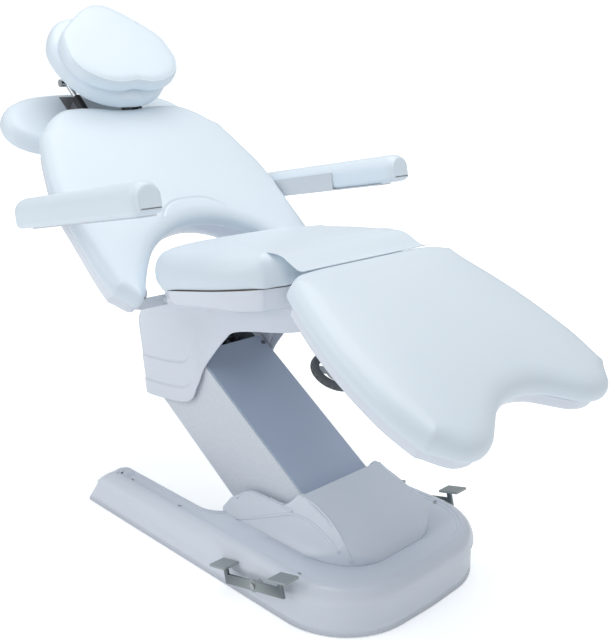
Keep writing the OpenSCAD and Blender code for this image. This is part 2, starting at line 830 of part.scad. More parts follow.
link_h = 36;          // height of the upper link bars
module lift_link() {
  color("dimgray")
    at_link()
      both()
        difference() {
          union() {
            block(-arm_l, 0, link_in, link_in + link_t, -link_h / 3, link_h / 3);
            cross_rod(0, 0, link_in, link_in + link_t, link_h);
            cross_rod(-arm_l, 0, link_in, link_in + link_t, link_h);
          }
          cross_rod(0, 0, link_in - over, link_in + link_t + over, pivot_d + 2 * run);
          cross_rod(-arm_l, 0, link_in - over, link_in + link_t + over, pivot_d + 2 * run);
        }
}

// Carriage
// Side outline of the carriage plates, from the arm's upper pivot, as shares of its reach and rise
carriage_shares = [
  [-0.1, -0.1], [0.09, -0.12], [0.3, 0.32], [0.284, 0.61], [0.318, 0.724], [0.865, 0.746],
  [0.93, 0.85], [1.08, 0.93], [1.08, 1.03], [0.95, 1.09], [0.6, 0.95], [0.45, 0.86], [0, 0.77], [-0.1, 0.6]
];
carriage_tie_share = 0.68;
carriage_tie_d = 36;
module carriage_frame() {
  plate = sized(carriage_shares, carriage_reach, carriage_rise);
  color("dimgray")
    at_upper()
      difference() {
        union() {
          both() {
            side_plate(plate, ear_in, ear_in + ear_t);
            cross_rod(0, 0, ear_in, ear_in + ear_t, 2 * ear_r);
            cross_rod(link_dx, link_dz, ear_in, ear_in + ear_t, 2 * ear_r);
            cross_rod(carriage_reach, carriage_rise, ear_in, ear_in + ear_t, 2 * ear_r);
          }
          for (s = [0.1, 0.62])
            cross_rod(s * carriage_reach, carriage_tie_share * carriage_rise, -ear_in, ear_in,
              carriage_tie_d);
        }
        cross_rod(0, 0, -column_w, column_w, pivot_d);
        cross_rod(link_dx, link_dz, -column_w, column_w, pivot_d);
        cross_rod(carriage_reach, carriage_rise, -column_w, column_w, seat_pin_d);
      }
}
module carriage_pins() {
  color("silver")
    at_upper()
      lift_pins();
}

// Seat
seat_pin_d = 20;
seat_ear_in = ear_in + ear_t + clear;
seat_ear_t = 8;
bar_w = 24;           // width of the seat's long bars
frame_top = 34;       // top of the seat frame above the tilt pivot
frame_t = 26;         // height of the seat's bars
hinge_arm_y = 235;    // inner face of the backrest arms
hinge_arm_t = 14;     // thickness of the backrest arms
hinge_room = 42;      // room round the hinge in the backrest shell
hinge_pin_d = 16;
leg_arm_y = 150;      // inner face of the leg rest arms
leg_arm_t = 12;
boss_r = 16;          // radius round a hinge pin
tray_gap = 2;         // gap between frame and tray floor
// Outline tables of the seat: half width along it, rear edge and front edge across it
seat_side_shares = [1, 1, 1, 1, 1, 0.997, 0.99, 0.967, 0.92, 0.85, 0.75];
seat_rear_shares = [0, 0.001, 0.003, 0.007, 0.014, 0.025, 0.043, 0.07, 0.107, 0.162, 0.276];
seat_front_shares = [1, 1, 1, 1, 1, 1, 1, 1, 1, 0.988, 0.94];
// Plan of the seat, drawn in by d
function seat_loop(d) = [
  for (q = drawn(seat_w, seat_l, seat_side_shares, seat_rear_shares, seat_front_shares, 1, 18, 8, d))
    [q[0] - seat_rear, q[1]]
];
seat_low = frame_top + tray_gap + tray_h;
seat_drop = 22;       // the front of the seat cushion is thinner by this
seat_edge = 62;       // width of the seat cushion's rounded edge
tray_in = 12;         // tray rim inside the cushion's edge
tray_flare = 30;      // tray floor inside the tray rim
tray_wall = 4;
board_t = 15;
bar_in = seat_ear_in + seat_ear_t;
rear_bar_x = back_hinge_x - boss_r;
leg_bar_back = 116;   // front cross bar behind the leg rest's hinge
leg_bar_x = leg_hinge_x - leg_bar_back;
module seat_frame() {
  ear_out = hinge_arm_y + hinge_arm_t + clear;
  color("lightgray")
    at_seat()
      difference() {
        union() {
          both() {
            block(-rear_bar_x - bar_w, leg_bar_x + bar_w, bar_in, bar_in + bar_w,
              frame_top - frame_t, frame_top);
            block(-2 * boss_r, 2 * boss_r, seat_ear_in, bar_in, 0, frame_top);
            cross_rod(0, 0, seat_ear_in, bar_in, 4 * boss_r);
            block(-back_hinge_x - boss_r, -rear_bar_x, ear_out, ear_out + hinge_arm_t,
              frame_top - frame_t, back_hinge_z);
            cross_rod(-back_hinge_x, back_hinge_z, ear_out, ear_out + hinge_arm_t, 2 * boss_r);
            block(leg_bar_x, leg_hinge_x, leg_arm_y + leg_arm_t + clear,
              leg_arm_y + 2 * leg_arm_t + clear, frame_top - frame_t, frame_top);
            cross_rod(leg_hinge_x, leg_hinge_z, leg_arm_y + leg_arm_t + clear,
              leg_arm_y + 2 * leg_arm_t + clear, 2 * boss_r);
          }
          block(-rear_bar_x - bar_w, -rear_bar_x, -ear_out - over, ear_out + over,
            frame_top - frame_t, frame_top);
          block(leg_bar_x, leg_bar_x + bar_w, -leg_arm_y - 2 * leg_arm_t, leg_arm_y + 2 * leg_arm_t,
            frame_top - frame_t, frame_top);
        }
        cross_rod(0, 0, -base_w, base_w, seat_pin_d + 2 * run);
        cross_rod(-back_hinge_x, back_hinge_z, -base_w, base_w, hinge_pin_d);
        cross_rod(leg_hinge_x, leg_hinge_z, -base_w, base_w, hinge_pin_d);
      }
}
// Hinge pins that the seat frame holds, for the backrest and the leg rest
module seat_pins() {
  color("silver")
    at_seat()
      both() {
        cross_rod(-back_hinge_x, back_hinge_z, hinge_arm_y - pin_head,
          hinge_arm_y + 2 * hinge_arm_t + clear + pin_head, hinge_pin_d);
        cross_rod(leg_hinge_x, leg_hinge_z, leg_arm_y - pin_head,
          leg_arm_y + 2 * leg_arm_t + clear + pin_head, hinge_pin_d);
      }
}
skirt_w = 264;        // width of the skirt beside the column
skirt_wall = 4;
skirt_rear = 442;     // rear end of the skirt behind the tilt pivot
skirt_front = 288;    // front end of the straight skirt
skirt_neck_front = 50; // where the flare ends below the pivot, at the front
skirt_neck_rear = 75; // and at the rear
skirt_drop = 282;     // depth of the skirt's sides below the pivot
flare_rear = 215;     // rear end of the flare's top
flare_front = 318;    // front end of the flare's top
flare_half = 225;     // half width of the flare's top
// Lower edge of the skirt's sides, as shares of the front reach and the drop
skirt_edge_shares = [
  [-1.54, -0.968], [-0.774, -1], [-0.545, -0.823], [-0.43, -0.645], [-0.3, -0.518], [-0.066, -0.333],
  [0.14, -0.24], [0.785, -0.215], [1, -0.195]
];
skirt_side_n = 24;    // steps along a side of the skirt
skirt_end_n = 8;      // steps along an end
// Places round a unit square
square_walk = concat(
  [for (k = [0 : skirt_side_n - 1]) [2 * k / skirt_side_n - 1, -1]],
  [for (k = [0 : skirt_end_n - 1]) [1, 2 * k / skirt_end_n - 1]],
  [for (k = [0 : skirt_side_n - 1]) [1 - 2 * k / skirt_side_n, 1]],
  [for (k = [0 : skirt_end_n - 1]) [-1, 1 - 2 * k / skirt_end_n]]
);
// Ring of the skirt: t is 0 at the tray, 1 at the neck and 2 at the lower edge; d moves it inward
function skirt_ring(t, d) =
  let (
    blend = 1 - pow(1 - min(t, 1), 2.2),
    back = -flare_rear + blend * (flare_rear - skirt_rear) + d,
    front = flare_front + blend * (skirt_front - flare_front) - d,
    half = flare_half + blend * (skirt_w / 2 - flare_half) - d,
    power = 2.6 + 10 * blend
  ) [
    for (q = square_walk)
      let (
        f = pow(pow(abs(q[0]), power) + pow(abs(q[1]), power), -1 / power),
        x = (front + back) / 2 + (front - back) / 2 * q[0] * f,
        neck = -skirt_neck_rear + (x + skirt_rear) * (skirt_neck_rear - skirt_neck_front)
          / (skirt_rear + skirt_front),
        edge = skirt_drop * lookup(x / skirt_front, skirt_edge_shares)
      )
        [x, half * q[1] * f, t < 1 ? frame_top + t * (neck - frame_top) : neck + (t - 1) * (edge - neck)]
  ];
skirt_steps = [2, 1.5, 1, 0.8, 0.6, 0.42, 0.26, 0.12, 0];
// Closed band through rings, the last joined to the first
module band(rings) {
  n = len(rings[0]);
  m = len(rings);
  polyhedron(
    points = [for (r = rings) each r],
    faces = [
      for (j = [0 : m - 1]) for (i = [0 : n - 1]) for (half = [0, 1])
        let (a = j * n, b = ((j + 1) % m) * n, k = (i + 1) % n)
          half == 0 ? [a + i, b + i, b + k] : [a + i, b + k, a + k]
    ]
  );
}
module seat_skirt() {
  color("white")
    at_seat()
      difference() {
        band(concat(
          [for (t = skirt_steps) skirt_ring(t, 0)],
          [for (k = [len(skirt_steps) - 1 : -1 : 0]) skirt_ring(skirt_steps[k], skirt_wall)]
        ));
        // the seat frame's rear bar and leg rest arms pass through the flare
        block(-rear_bar_x - bar_w - clear, -rear_bar_x + clear, -half_w, half_w,
          frame_top - frame_t - clear, frame_top + over);
        both() {
          block(leg_bar_x - clear, leg_bar_x + bar_w + clear, leg_arm_y - bar_w,
            leg_arm_y + 2 * leg_arm_t + 2 * clear, frame_top - frame_t - clear, frame_top + over);
          block(leg_bar_x, leg_hinge_x, leg_arm_y + leg_arm_t,
            leg_arm_y + 2 * leg_arm_t + 2 * clear, frame_top - frame_t - clear, frame_top + over);
        }
      }
}
module seat_tray() {
  color("white")
    at_seat()
      tray(function(d) seat_loop(tray_in + d), [
        [frame_top, tray_flare],
        [frame_top + tray_wall, tray_flare / 2],
        [frame_top + tray_h / 2, tray_flare / 5],
        [seat_low, 0]
      ], tray_wall);
}
module seat_board() {
  color("burlywood")
    at_seat()
      translate([0, 0, seat_low - board_t])
        linear_extrude(height = board_t)
          polygon(seat_loop(tray_in + tray_flare / 5 + tray_wall + clear));
}
module seat_cushion() {
  color("white")
    at_seat()
      cushion(function(d) inset(seat_loop(0), d), seat_low, seat_t, seat_edge, seat_drop, seat_l,
        -seat_rear);
}
flap_t = 3;
flap_w = 430;
flap_rise = 6.5;      // flap's top above the cushion's front edge
// Sagging run of the flap, as shares of its length and drop
flap_shares = [
  [0, 0], [0.13, 0.01], [0.235, 0.1], [0.32, 0.24], [0.39, 0.41], [0.48, 0.64], [0.59, 0.84],
  [0.7, 0.96], [0.8, 1], [0.91, 0.98], [1, 1]
];
module bridge_flap() {
  // It runs from the front of the seat cushion to the rear of the leg cushion
  from = [seat_l - seat_rear - seat_edge, seat_low + seat_t - seat_drop + flap_rise];
  to = [leg_hinge_x + leg_gap_x, leg_hinge_z + leg_gap_z];
  top = [for (q = flap_shares) [from[0] + q[0] * (to[0] - from[0]), from[1] + q[1] * (to[1] - from[1])]];
  color("white")
    at_seat()
      side_plate(concat([for (k = [len(top) - 1 : -1 : 0]) top[k]], [for (q = top) q - [0, flap_t]]),
        -flap_w / 2, flap_w / 2);
}

// Backrest
// The backrest's own frame: it rises along -X from its hinge, +Z faces the sitter
back_face = 87;       // front of the cushion before the hinge
back_foot = 72;       // lobe tips below the hinge
back_edge = 34;       // width of the cushion's rounded edge
back_side_shares = [0.94, 0.984, 1, 1, 1, 1, 0.979, 0.93, 0.872, 0.802, 0.762];
back_foot_shares = [0.326, 0.321, 0.31, 0.29, 0.261, 0.22, 0.161, 0.094, 0.034, 0, 0.064];
back_top_shares = [0.97, 0.971, 0.977, 0.984, 0.987, 0.989, 0.987, 0.981, 0.96, 0.921, 0.857];
// Plan of the backrest, drawn in by d
function back_loop(d) = [
  for (q = drawn(back_w, back_l, back_side_shares, back_foot_shares, back_top_shares, -1, 26, 10, d))
    [q[0] + back_foot, q[1]]
];
back_inner = [back_w / 7, back_w / 4.3]; // crowning rings of the cushion inside its edge
back_rise = back_l - back_foot; // top of the backrest above its hinge
back_low = back_face - back_t;
shell_top = back_low - tray_gap;
shell_low = shell_top - shell_t;
shell_wall = 5;
shell_in = 25;        // shell rim inside the cushion's edge
shell_flare = 50;     // shell floor inside its rim
// Section of the shell, as [height, distance inside the backrest's edge]
shell_form = [
  [shell_low, shell_in + shell_flare],
  [shell_low + shell_wall, shell_in + shell_flare - 2 * shell_wall],
  [shell_low + shell_t / 2, shell_in + shell_flare / 3],
  [shell_top, shell_in]
];
bar_short = 158;      // backrest arms end below the backrest's top
back_bar_l = back_rise - bar_short; // length of the backrest arms
back_bar_h = 30;
module back_frame() {
  color("lightgray")
    at_back()
      difference() {
        union() {
          both() {
            block(-back_bar_l, 0, hinge_arm_y, hinge_arm_y + hinge_arm_t, -boss_r, boss_r);
            cross_rod(0, 0, hinge_arm_y, hinge_arm_y + hinge_arm_t, 2 * boss_r);
            block(-guide_s1, -back_bar_l + back_bar_h, rod_gap / 2 - boss_r, rod_gap / 2 + boss_r,
              -boss_r, boss_r);
          }
          for (s = [mount_s, back_bar_l - back_bar_h])
            block(-s - back_bar_h / 2, -s + back_bar_h / 2, -hinge_arm_y - over,
              hinge_arm_y + over, -boss_r, boss_r);
        }
        cross_rod(0, 0, -back_w, back_w, hinge_pin_d + 2 * run);
        cross_rod(-mount_s, mount_z, -back_w, back_w, mount_pin_d);
      }
}
mount_s = 302;        // armrest pivot up the backrest
mount_z = 0;          // armrest pivot before the hinge line
mount_pin_d = 18;
mount_r = 17;
arm_lane = 378;       // inner face of the armrest plates
arm_plate = 6;
module armrest_mounts() {
  color("dimgray")
    at_back()
      both() {
        cross_rod(-mount_s, mount_z, hinge_arm_y + hinge_arm_t, arm_lane - clear, 2 * mount_r);
        cross_rod(-mount_s, mount_z, hinge_arm_y, arm_lane + arm_plate, mount_pin_d);
      }
}
module back_shell() {
  color("white")
    at_back()
      difference() {
        tray(function(d) back_loop(d), shell_form, shell_wall);
        both() {
          block(-back_foot, back_foot, hinge_arm_y - clear, hinge_arm_y + hinge_arm_t + clear,
            -boss_r - clear, shell_top + over);
          block(-hinge_room, back_foot, hinge_arm_y - 2 * pin_head,
            hinge_arm_y + 2 * hinge_arm_t + 2 * pin_head, -hinge_room, shell_top + over);
          cross_rod(-mount_s, mount_z, hinge_arm_y, back_w, 2 * (mount_r + gap));
          block(-back_l, -back_l + 2 * back_foot, rod_gap / 2 - boss_r, rod_gap / 2 + boss_r,
            -boss_r, shell_top + over);
        }
      }
}
module back_cushion() {
  color("white")
    at_back()
      cushion(function(d) back_loop(d), back_low, back_t, back_edge, inner = back_inner);
}

// Head end
guide_l = 56;         // length of a guide block and of a sleeve
guide_s1 = back_rise; // guide blocks end at the backrest's top
guide_s0 = guide_s1 - guide_l;
sleeve_gap = 26;      // sleeves above the backrest
sleeve_s0 = guide_s1 + sleeve_gap;
sleeve_s1 = sleeve_s0 + guide_l;
sleeve_d = 28;
rod_foot = 8;         // rods' lower end above the foot of the guide blocks
rod_s0 = guide_s0 + rod_foot;
rod_out = 69;         // headrest tilt pivot above the sleeves
rod_s1 = sleeve_s1 + rod_out;
rod_z_out = 29;       // rod axis before the hinge line
head_pivot_z = 27;    // headrest tilt pivot before the hinge line
rail_d = 22;
module headrest_guides() {
  color("dimgray")
    at_back()
      both() {
        difference() {
          block(-guide_s1, -guide_s0, rod_gap / 2 - boss_r, rod_gap / 2 + boss_r, boss_r,
            back_low - tray_gap);
          translate([-guide_s1 - over, rod_gap / 2, rod_z_out])
            rotate([0, 90, 0])
              cylinder(d = rod_d + 2 * run, h = guide_s1 - guide_s0 + 2 * over, $fn = fine);
        }
        difference() {
          translate([-sleeve_s1, rod_gap / 2, rod_z_out])
            rotate([0, 90, 0])
              cylinder(d = sleeve_d, h = sleeve_s1 - sleeve_s0, $fn = fine);
          translate([-sleeve_s1 - over, rod_gap / 2, rod_z_out])
            rotate([0, 90, 0])
              cylinder(d = rod_d + 2 * run, h = sleeve_s1 - sleeve_s0 + 2 * over, $fn = fine);
        }
      }
}
shelf_face = -17;     // front of the shelf cushion before the hinge line
bracket_t = 6;
bracket_w = 44;
bracket_out = 50;     // bracket's end above the sleeves
bracket_s1 = sleeve_s1 + bracket_out;
module shelf_bracket() {
  color("dimgray")
    at_back()
      both() {
        block(-bracket_s1, -guide_s1, rod_gap / 2 - bracket_w / 2, rod_gap / 2 + bracket_w / 2,
          shelf_face, shelf_face + bracket_t);
        difference() {
          block(-sleeve_s1, -sleeve_s0, rod_gap / 2 - boss_r / 2, rod_gap / 2 + boss_r / 2,
            shelf_face + bracket_t, rod_z_out);
          translate([-sleeve_s1 - over, rod_gap / 2, rod_z_out])
            rotate([0, 90, 0])
              cylinder(d = sleeve_d, h = sleeve_s1 - sleeve_s0 + 2 * over, $fn = fine);
        }
      }
}
shelf_lap = 65;       // lower edge of the shelf cushion below the backrest's top
shelf_s = back_rise - shelf_lap;
shelf_edge = 26;
// Half outline of the shelf cushion, as [along, half width] shares
shelf_shares = [
  [0, 0], [0.01, 0.4], [0.08, 0.72], [0.25, 0.93], [0.5, 1], [0.75, 0.93], [0.92, 0.72], [0.99, 0.4], [1, 0]
];
shelf_plan = curve(mirrored(shelf_shares, shelf_l, shelf_w / 2, -1), 2);
module shelf_cushion() {
  color("white")
    at_back()
      translate([-shelf_s, 0, 0])
        cushion(function(d) inset(shelf_plan, d), shelf_face - shelf_t, shelf_t, shelf_edge);
}
// The headrest's own frame: its plane meets the pillow's face, it rises along -X
head_lap = 22.6;      // foot of the pillow's face below the backrest's top
head_s = back_rise - head_lap;
head_z = 197;         // pillow's face before the hinge line
module at_head() {
  at_back()
    translate([-head_s, 0, head_z])
      rotate([0, head_angle, 0])
        children();
}
// Half outlines of the pillow and of the cushion under it
pillow_shares = [
  [-0.02, 0], [-0.045, 0.24], [-0.03, 0.48], [0.02, 0.68], [0.1, 0.86], [0.25, 0.98], [0.42, 0.97],
  [0.57, 0.9], [0.72, 0.67], [0.87, 0.37], [0.94, 0.17], [0.96, 0]
];
head_shares = [
  [-0.085, 0], [-0.08, 0.22], [-0.03, 0.5], [0.06, 0.72], [0.22, 0.9], [0.4, 0.99], [0.55, 0.99],
  [0.68, 0.91], [0.8, 0.77], [0.88, 0.58], [0.92, 0.3], [0.93, 0]
];
pillow_edge = 24;
head_edge = 28;
pillow_plan = curve(mirrored(pillow_shares, pillow_l, pillow_w / 2, -1), 2);
head_plan = curve(mirrored(head_shares, head_l, head_w / 2, -1), 2);
module head_pillow() {
  color("white")
    at_head()
      cushion(function(d) inset(pillow_plan, d), -pillow_t, pillow_t, pillow_edge);
}
head_low = -pillow_t - gap - head_t;
module headrest_cushion() {
  color("white")
    at_head()
      cushion(function(d) inset(head_plan, d), head_low, head_t, head_edge);
}
// Tilt pivot seen from the headrest's frame
pivot_rel = [head_s - rod_s1, head_pivot_z - head_z];
pivot_hx = pivot_rel[0] * cos(head_angle) - pivot_rel[1] * sin(head_angle);
pivot_hz = pivot_rel[0] * sin(head_angle) + pivot_rel[1] * cos(head_angle);
head_plate_t = 6;
head_plate_l = 150;
head_plate_w = 180;
head_lug_y = 60;
head_lug_t = 10;
module headrest_plate() {
  color("dimgray")
    at_head()
      difference() {
        union() {
          block(pivot_hx - head_plate_l / 4, pivot_hx + 3 * head_plate_l / 4, -head_plate_w / 2,
            head_plate_w / 2, head_low - head_plate_t, head_low);
          both() {
            block(pivot_hx - boss_r, pivot_hx + boss_r, head_lug_y, head_lug_y + head_lug_t,
              pivot_hz, head_low - head_plate_t / 2);
            cross_rod(pivot_hx, pivot_hz, head_lug_y, head_lug_y + head_lug_t, 2 * boss_r);
          }
        }
        cross_rod(pivot_hx, pivot_hz, -head_w, head_w, rail_d + 2 * run);
      }
}
module headrest_rods() {
  color("silver")
    at_back() {
      both()
        translate([-rod_s1, rod_gap / 2, rod_z_out])
          rotate([0, 90, 0])
            cylinder(d = rod_d, h = rod_s1 - rod_s0, $fn = fine);
      cross_rod(-rod_s1, head_pivot_z, -rail_l / 2, rail_l / 2, rail_d);
      both()
        cross_rod(-rod_s1, head_pivot_z, knob_t / 2 + gap, knob_t / 2 + gap + collar_t, rail_d + collar_t);
    }
}
rail_l = 234;         // length of the headrest's rail
collar_t = 6;         // thickness of the collars beside the knob
knob_d = 40;
knob_t = 26;
// Clamp knob round the middle of the rail
module headrest_knob() {
  color("black")
    at_back()
      difference() {
        cross_rod(-rod_s1, head_pivot_z, -knob_t / 2, knob_t / 2, knob_d);
        cross_rod(-rod_s1, head_pivot_z, -knob_t, knob_t, rail_d + 2 * run);
      }
}

// Armrests
pad_rear = 26;        // pad's rear end behind its pivot
pad_low = 29;         // pad's foot below its pivot
arm_strip = 4;        // strip under the pad
pad_edge = 30;
pad_top_r = 38;       // radius of the pad's long upper edges
pad_foot_r = 13;      // radius of its long lower edges
pad_end_l = 24;       // length over which an end draws in
pad_end_in = 11;      // how far an end draws in
// Drawing-in of an end: share of its length, share of its depth
pad_end_shares = [[0, 1], [0.06, 0.66], [0.22, 0.3], [0.5, 0.07], [1, 0]];
arm_bar_l = 330;
arm_bar_h = 40;
module at_armrest() {
  at_back()
    translate([-mount_s, 0, mount_z])
      rotate([0, -back_angle + seat_tilt - pad_slope, 0])
        children();
}
module arm_plate_form() {
  at_armrest()
    difference() {
      union() {
        block(0, arm_bar_l, arm_lane, arm_lane + arm_plate, -arm_bar_h / 2, arm_bar_h / 2);
        cross_rod(0, 0, arm_lane, arm_lane + arm_plate, arm_bar_h);
        block(arm_bar_h / 2, pad_l - 3 * pad_rear, arm_lane, arm_lane + arm_plate + pad_w - pad_edge,
          -pad_low - arm_strip, -pad_low);
        block(arm_bar_h / 2, arm_bar_l, arm_lane, arm_lane + arm_plate, -pad_low - arm_strip, 0);
      }
      cross_rod(0, 0, arm_lane - over, arm_lane + arm_plate + over, mount_pin_d + 2 * run);
    }
}
module arm_pad_form() {
  y0 = arm_lane + arm_plate + gap;
  last = len(pad_end_shares) - 1;
  section = rounded([
    [y0, -pad_low, pad_foot_r],
    [y0 + pad_w, -pad_low, pad_foot_r],
    [y0 + pad_w, pad_h - pad_low, pad_top_r],
    [y0, pad_h - pad_low, pad_top_r]
  ]);
  at_armrest()
    stack(concat(
      [for (e = pad_end_shares)
        [for (q = inset(section, e[1] * pad_end_in)) [e[0] * pad_end_l - pad_rear, q[0], q[1]]]],
      [for (k = [last : -1 : 0]) let (e = pad_end_shares[k])
        [for (q = inset(section, e[1] * pad_end_in))
          [pad_l - pad_rear - e[0] * pad_end_l, q[0], q[1]]]]
    ));
}
module armrest_left_plate() {
  color("white")
    arm_plate_form();
}
module armrest_right_plate() {
  color("white")
    mirror([0, 1, 0])
      arm_plate_form();
}
module armrest_left_pad() {
  color("white")
    arm_pad_form();
}
module armrest_right_pad() {
  color("white")
    mirror([0, 1, 0])
      arm_pad_form();
}

// Leg rest
// The leg rest's own frame: it runs along +X from its hinge, +Z faces the sitter
leg_back = 13;        // rear edge of the leg cushion behind the hinge line
leg_low = 30;         // foot of the leg cushion above the hinge line
leg_edge = 40;
leg_gap_x = 47;       // flap's end on the leg cushion, in the seat's frame
leg_gap_z = 64;
leg_side_shares = [0.766, 0.83, 0.88, 0.927, 0.962, 0.985, 0.997, 1, 0.98, 0.936, 0.877];
leg_rear_shares = [0, 0, 0, 0, 0, 0, 0, 0.002, 0.007, 0.019, 0.056];
leg_foot_shares = [0.843, 0.846, 0.859, 0.881, 0.915, 0.949, 0.979, 0.995, 0.997, 0.974, 0.89];
// Plan of the leg rest, drawn in by d, its rear edge moved forward by rear as well
function leg_loop(d, rear = 0) = [
  for (q = drawn(leg_w, leg_l, leg_side_shares, [for (f = leg_rear_shares) f + rear / leg_l],
      leg_foot_shares, 1, 24, 9, d))
    [q[0] - leg_back, q[1]]
];
leg_board_t = 33;
leg_board_in = 14;
leg_board_rear = 18;  // room for the hinge behind the board
leg_board_flare = 16;
leg_board_wall = 5;
leg_bar_w = 24;
leg_bar_h = 20;
leg_bar_l = 330;
module leg_board() {
  color("white")
    at_leg()
      tray(function(d) leg_loop(leg_board_in + d, leg_board_rear), [
        [leg_low - leg_board_t, leg_board_flare],
        [leg_low - leg_board_t / 2, leg_board_flare / 4],
        [leg_low - gap, 0]
      ], leg_board_wall);
}
module leg_frame() {
  top = leg_low - leg_board_t;
  color("lightgray")
    at_leg()
      difference() {
        union() {
          both() {
            block(-boss_r, leg_bar_l, leg_arm_y, leg_arm_y + leg_arm_t, top - leg_bar_h, top);
            block(-boss_r, boss_r, leg_arm_y, leg_arm_y + leg_arm_t, top - over, 0);
            cross_rod(0, 0, leg_arm_y, leg_arm_y + leg_arm_t, 2 * boss_r);
          }
          for (x = [3 * leg_bar_w, leg_bar_l - leg_bar_w])
            block(x, x + leg_bar_w, -leg_arm_y - over, leg_arm_y + over, top - leg_bar_h, top);
        }
        cross_rod(0, 0, -base_w, base_w, hinge_pin_d + 2 * run);
      }
}
module leg_cushion() {
  color("white")
    at_leg()
      cushion(function(d) inset(leg_loop(0), d), leg_low, leg_t, leg_edge);
}
wheel_x = 162;        // hand wheel in front of the leg hinge
wheel_y = 190;        // hand wheel beside the middle
wheel_z = 86;         // hand wheel below the hinge line
spindle_d = 16;
rim_d = 20;
hub_d = 40;
hub_t = 18;
rib_n = 24;
rib_d = 5;
spokes = 3;
bearing_d = 34;
bearing_h = 30;
flange_l = 50;
module at_wheel() {
  at_leg()
    translate([wheel_x, -wheel_y, 0])
      children();
}
module wheel_bearing() {
  top = leg_low - leg_board_t;
  color("gray")
    at_wheel()
      difference() {
        union() {
          translate([0, 0, top - bearing_h])
            cylinder(d = bearing_d, h = bearing_h, $fn = fine);
          block(-flange_l / 2, flange_l / 2, -flange_l / 2, flange_l / 2, top - pin_head, top);
        }
        translate([0, 0, top - bearing_h - over])
          cylinder(d = spindle_d + 2 * run, h = bearing_h + 2 * over, $fn = fine);
      }
}
module wheel_rim() {
  color("black")
    at_wheel()
      translate([0, 0, -wheel_z])
        difference() {
          rotate_extrude($fn = 2 * fine)
            translate([wheel_d / 2 - rim_d / 2, 0])
              circle(d = rim_d, $fn = fine / 2);
          for (k = [0 : rib_n - 1])
            rotate([0, 0, 360 * k / rib_n])
              translate([wheel_d / 2, 0, -rim_d])
                cylinder(d = rib_d, h = 2 * rim_d, $fn = fine / 2);
        }
}
module wheel_hub() {
  color("lightgray")
    at_wheel()
      difference() {
        union() {
          translate([0, 0, -wheel_z - hub_t / 2]) {
            cylinder(d = hub_d, h = hub_t, $fn = fine);
            cylinder(d = spindle_d, h = wheel_z + hub_t / 2 + leg_low - leg_board_t - gap, $fn = fine);
          }
          for (k = [0 : spokes - 1])
            translate([0, 0, -wheel_z])
              rotate([0, 0, 360 * k / spokes])
                block(0, wheel_d / 2 - rim_d / 2, -spindle_d / 2, spindle_d / 2, -pin_head,
                  pin_head);
        }
        translate([0, 0, -wheel_z])
          rotate_extrude($fn = 2 * fine)
            translate([wheel_d / 2 - rim_d / 2, 0])
              circle(d = rim_d, $fn = fine / 2);
      }
}

base_plate();
base_frame();
lift_pivot_pins();
base_cover();
column_cowl();
cover_screws();
control_box();
mains_inlet();
pedal_bearings();
pedal_switches();
pedal_shaft();
pedal_left();
pedal_right();
pedal_cam();
lift_arm_frame();
column_cover();
column_front_plate();
column_rear_cover();
column_screws();
lift_rod();
lift_link();
lift_motor();
carriage_frame();
carriage_pins();
seat_frame();
seat_pins();
seat_skirt();
seat_tray();
seat_board();
seat_cushion();
bridge_flap();
back_frame();
back_shell();
back_cushion();
headrest_guides();
shelf_bracket();
shelf_cushion();
armrest_mounts();
headrest_rods();
headrest_plate();
headrest_cushion();
head_pillow();
headrest_knob();
armrest_left_plate();
armrest_left_pad();
armrest_right_plate();
armrest_right_pad();
leg_frame();
leg_board();
leg_cushion();
wheel_bearing();
wheel_rim();
wheel_hub();
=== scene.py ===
"""Looks of the motor-lifted massage bed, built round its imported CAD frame.

Metres; +X runs to the foot end, +Y to the sitter's left, +Z up.
"""
import json
from math import acos, atan2, cos, pi, radians, sin, tan

import bmesh
import bpy
import numpy as np
from mathutils import Matrix, Vector
from mathutils.bvhtree import BVHTree
from mathutils.geometry import delaunay_2d_cdt


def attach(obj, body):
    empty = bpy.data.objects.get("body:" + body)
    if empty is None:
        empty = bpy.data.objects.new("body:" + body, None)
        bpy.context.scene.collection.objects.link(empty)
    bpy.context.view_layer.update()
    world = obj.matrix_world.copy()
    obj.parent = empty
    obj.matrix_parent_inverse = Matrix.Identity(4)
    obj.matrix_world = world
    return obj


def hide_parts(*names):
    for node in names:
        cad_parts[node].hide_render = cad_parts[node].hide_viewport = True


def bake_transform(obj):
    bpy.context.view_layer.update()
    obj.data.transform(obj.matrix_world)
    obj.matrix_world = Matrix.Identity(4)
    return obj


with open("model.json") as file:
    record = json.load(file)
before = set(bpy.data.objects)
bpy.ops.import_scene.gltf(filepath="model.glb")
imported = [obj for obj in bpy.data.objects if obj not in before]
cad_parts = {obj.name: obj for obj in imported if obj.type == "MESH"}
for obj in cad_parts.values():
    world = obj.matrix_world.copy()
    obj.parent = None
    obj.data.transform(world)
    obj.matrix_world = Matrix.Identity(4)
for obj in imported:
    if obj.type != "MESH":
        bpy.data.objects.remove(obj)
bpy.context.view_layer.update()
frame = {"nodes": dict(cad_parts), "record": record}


# camera

PHOTO_W, PHOTO_H, FOCAL_PX = 615, 640, 895.9
CAMERA_PLACE, CAMERA_HEADING, CAMERA_DIP = (1.7000, -1.5439, 1.2649), 44.35, 15.84
SENSOR, FAR_CLIP = 36.0, 60


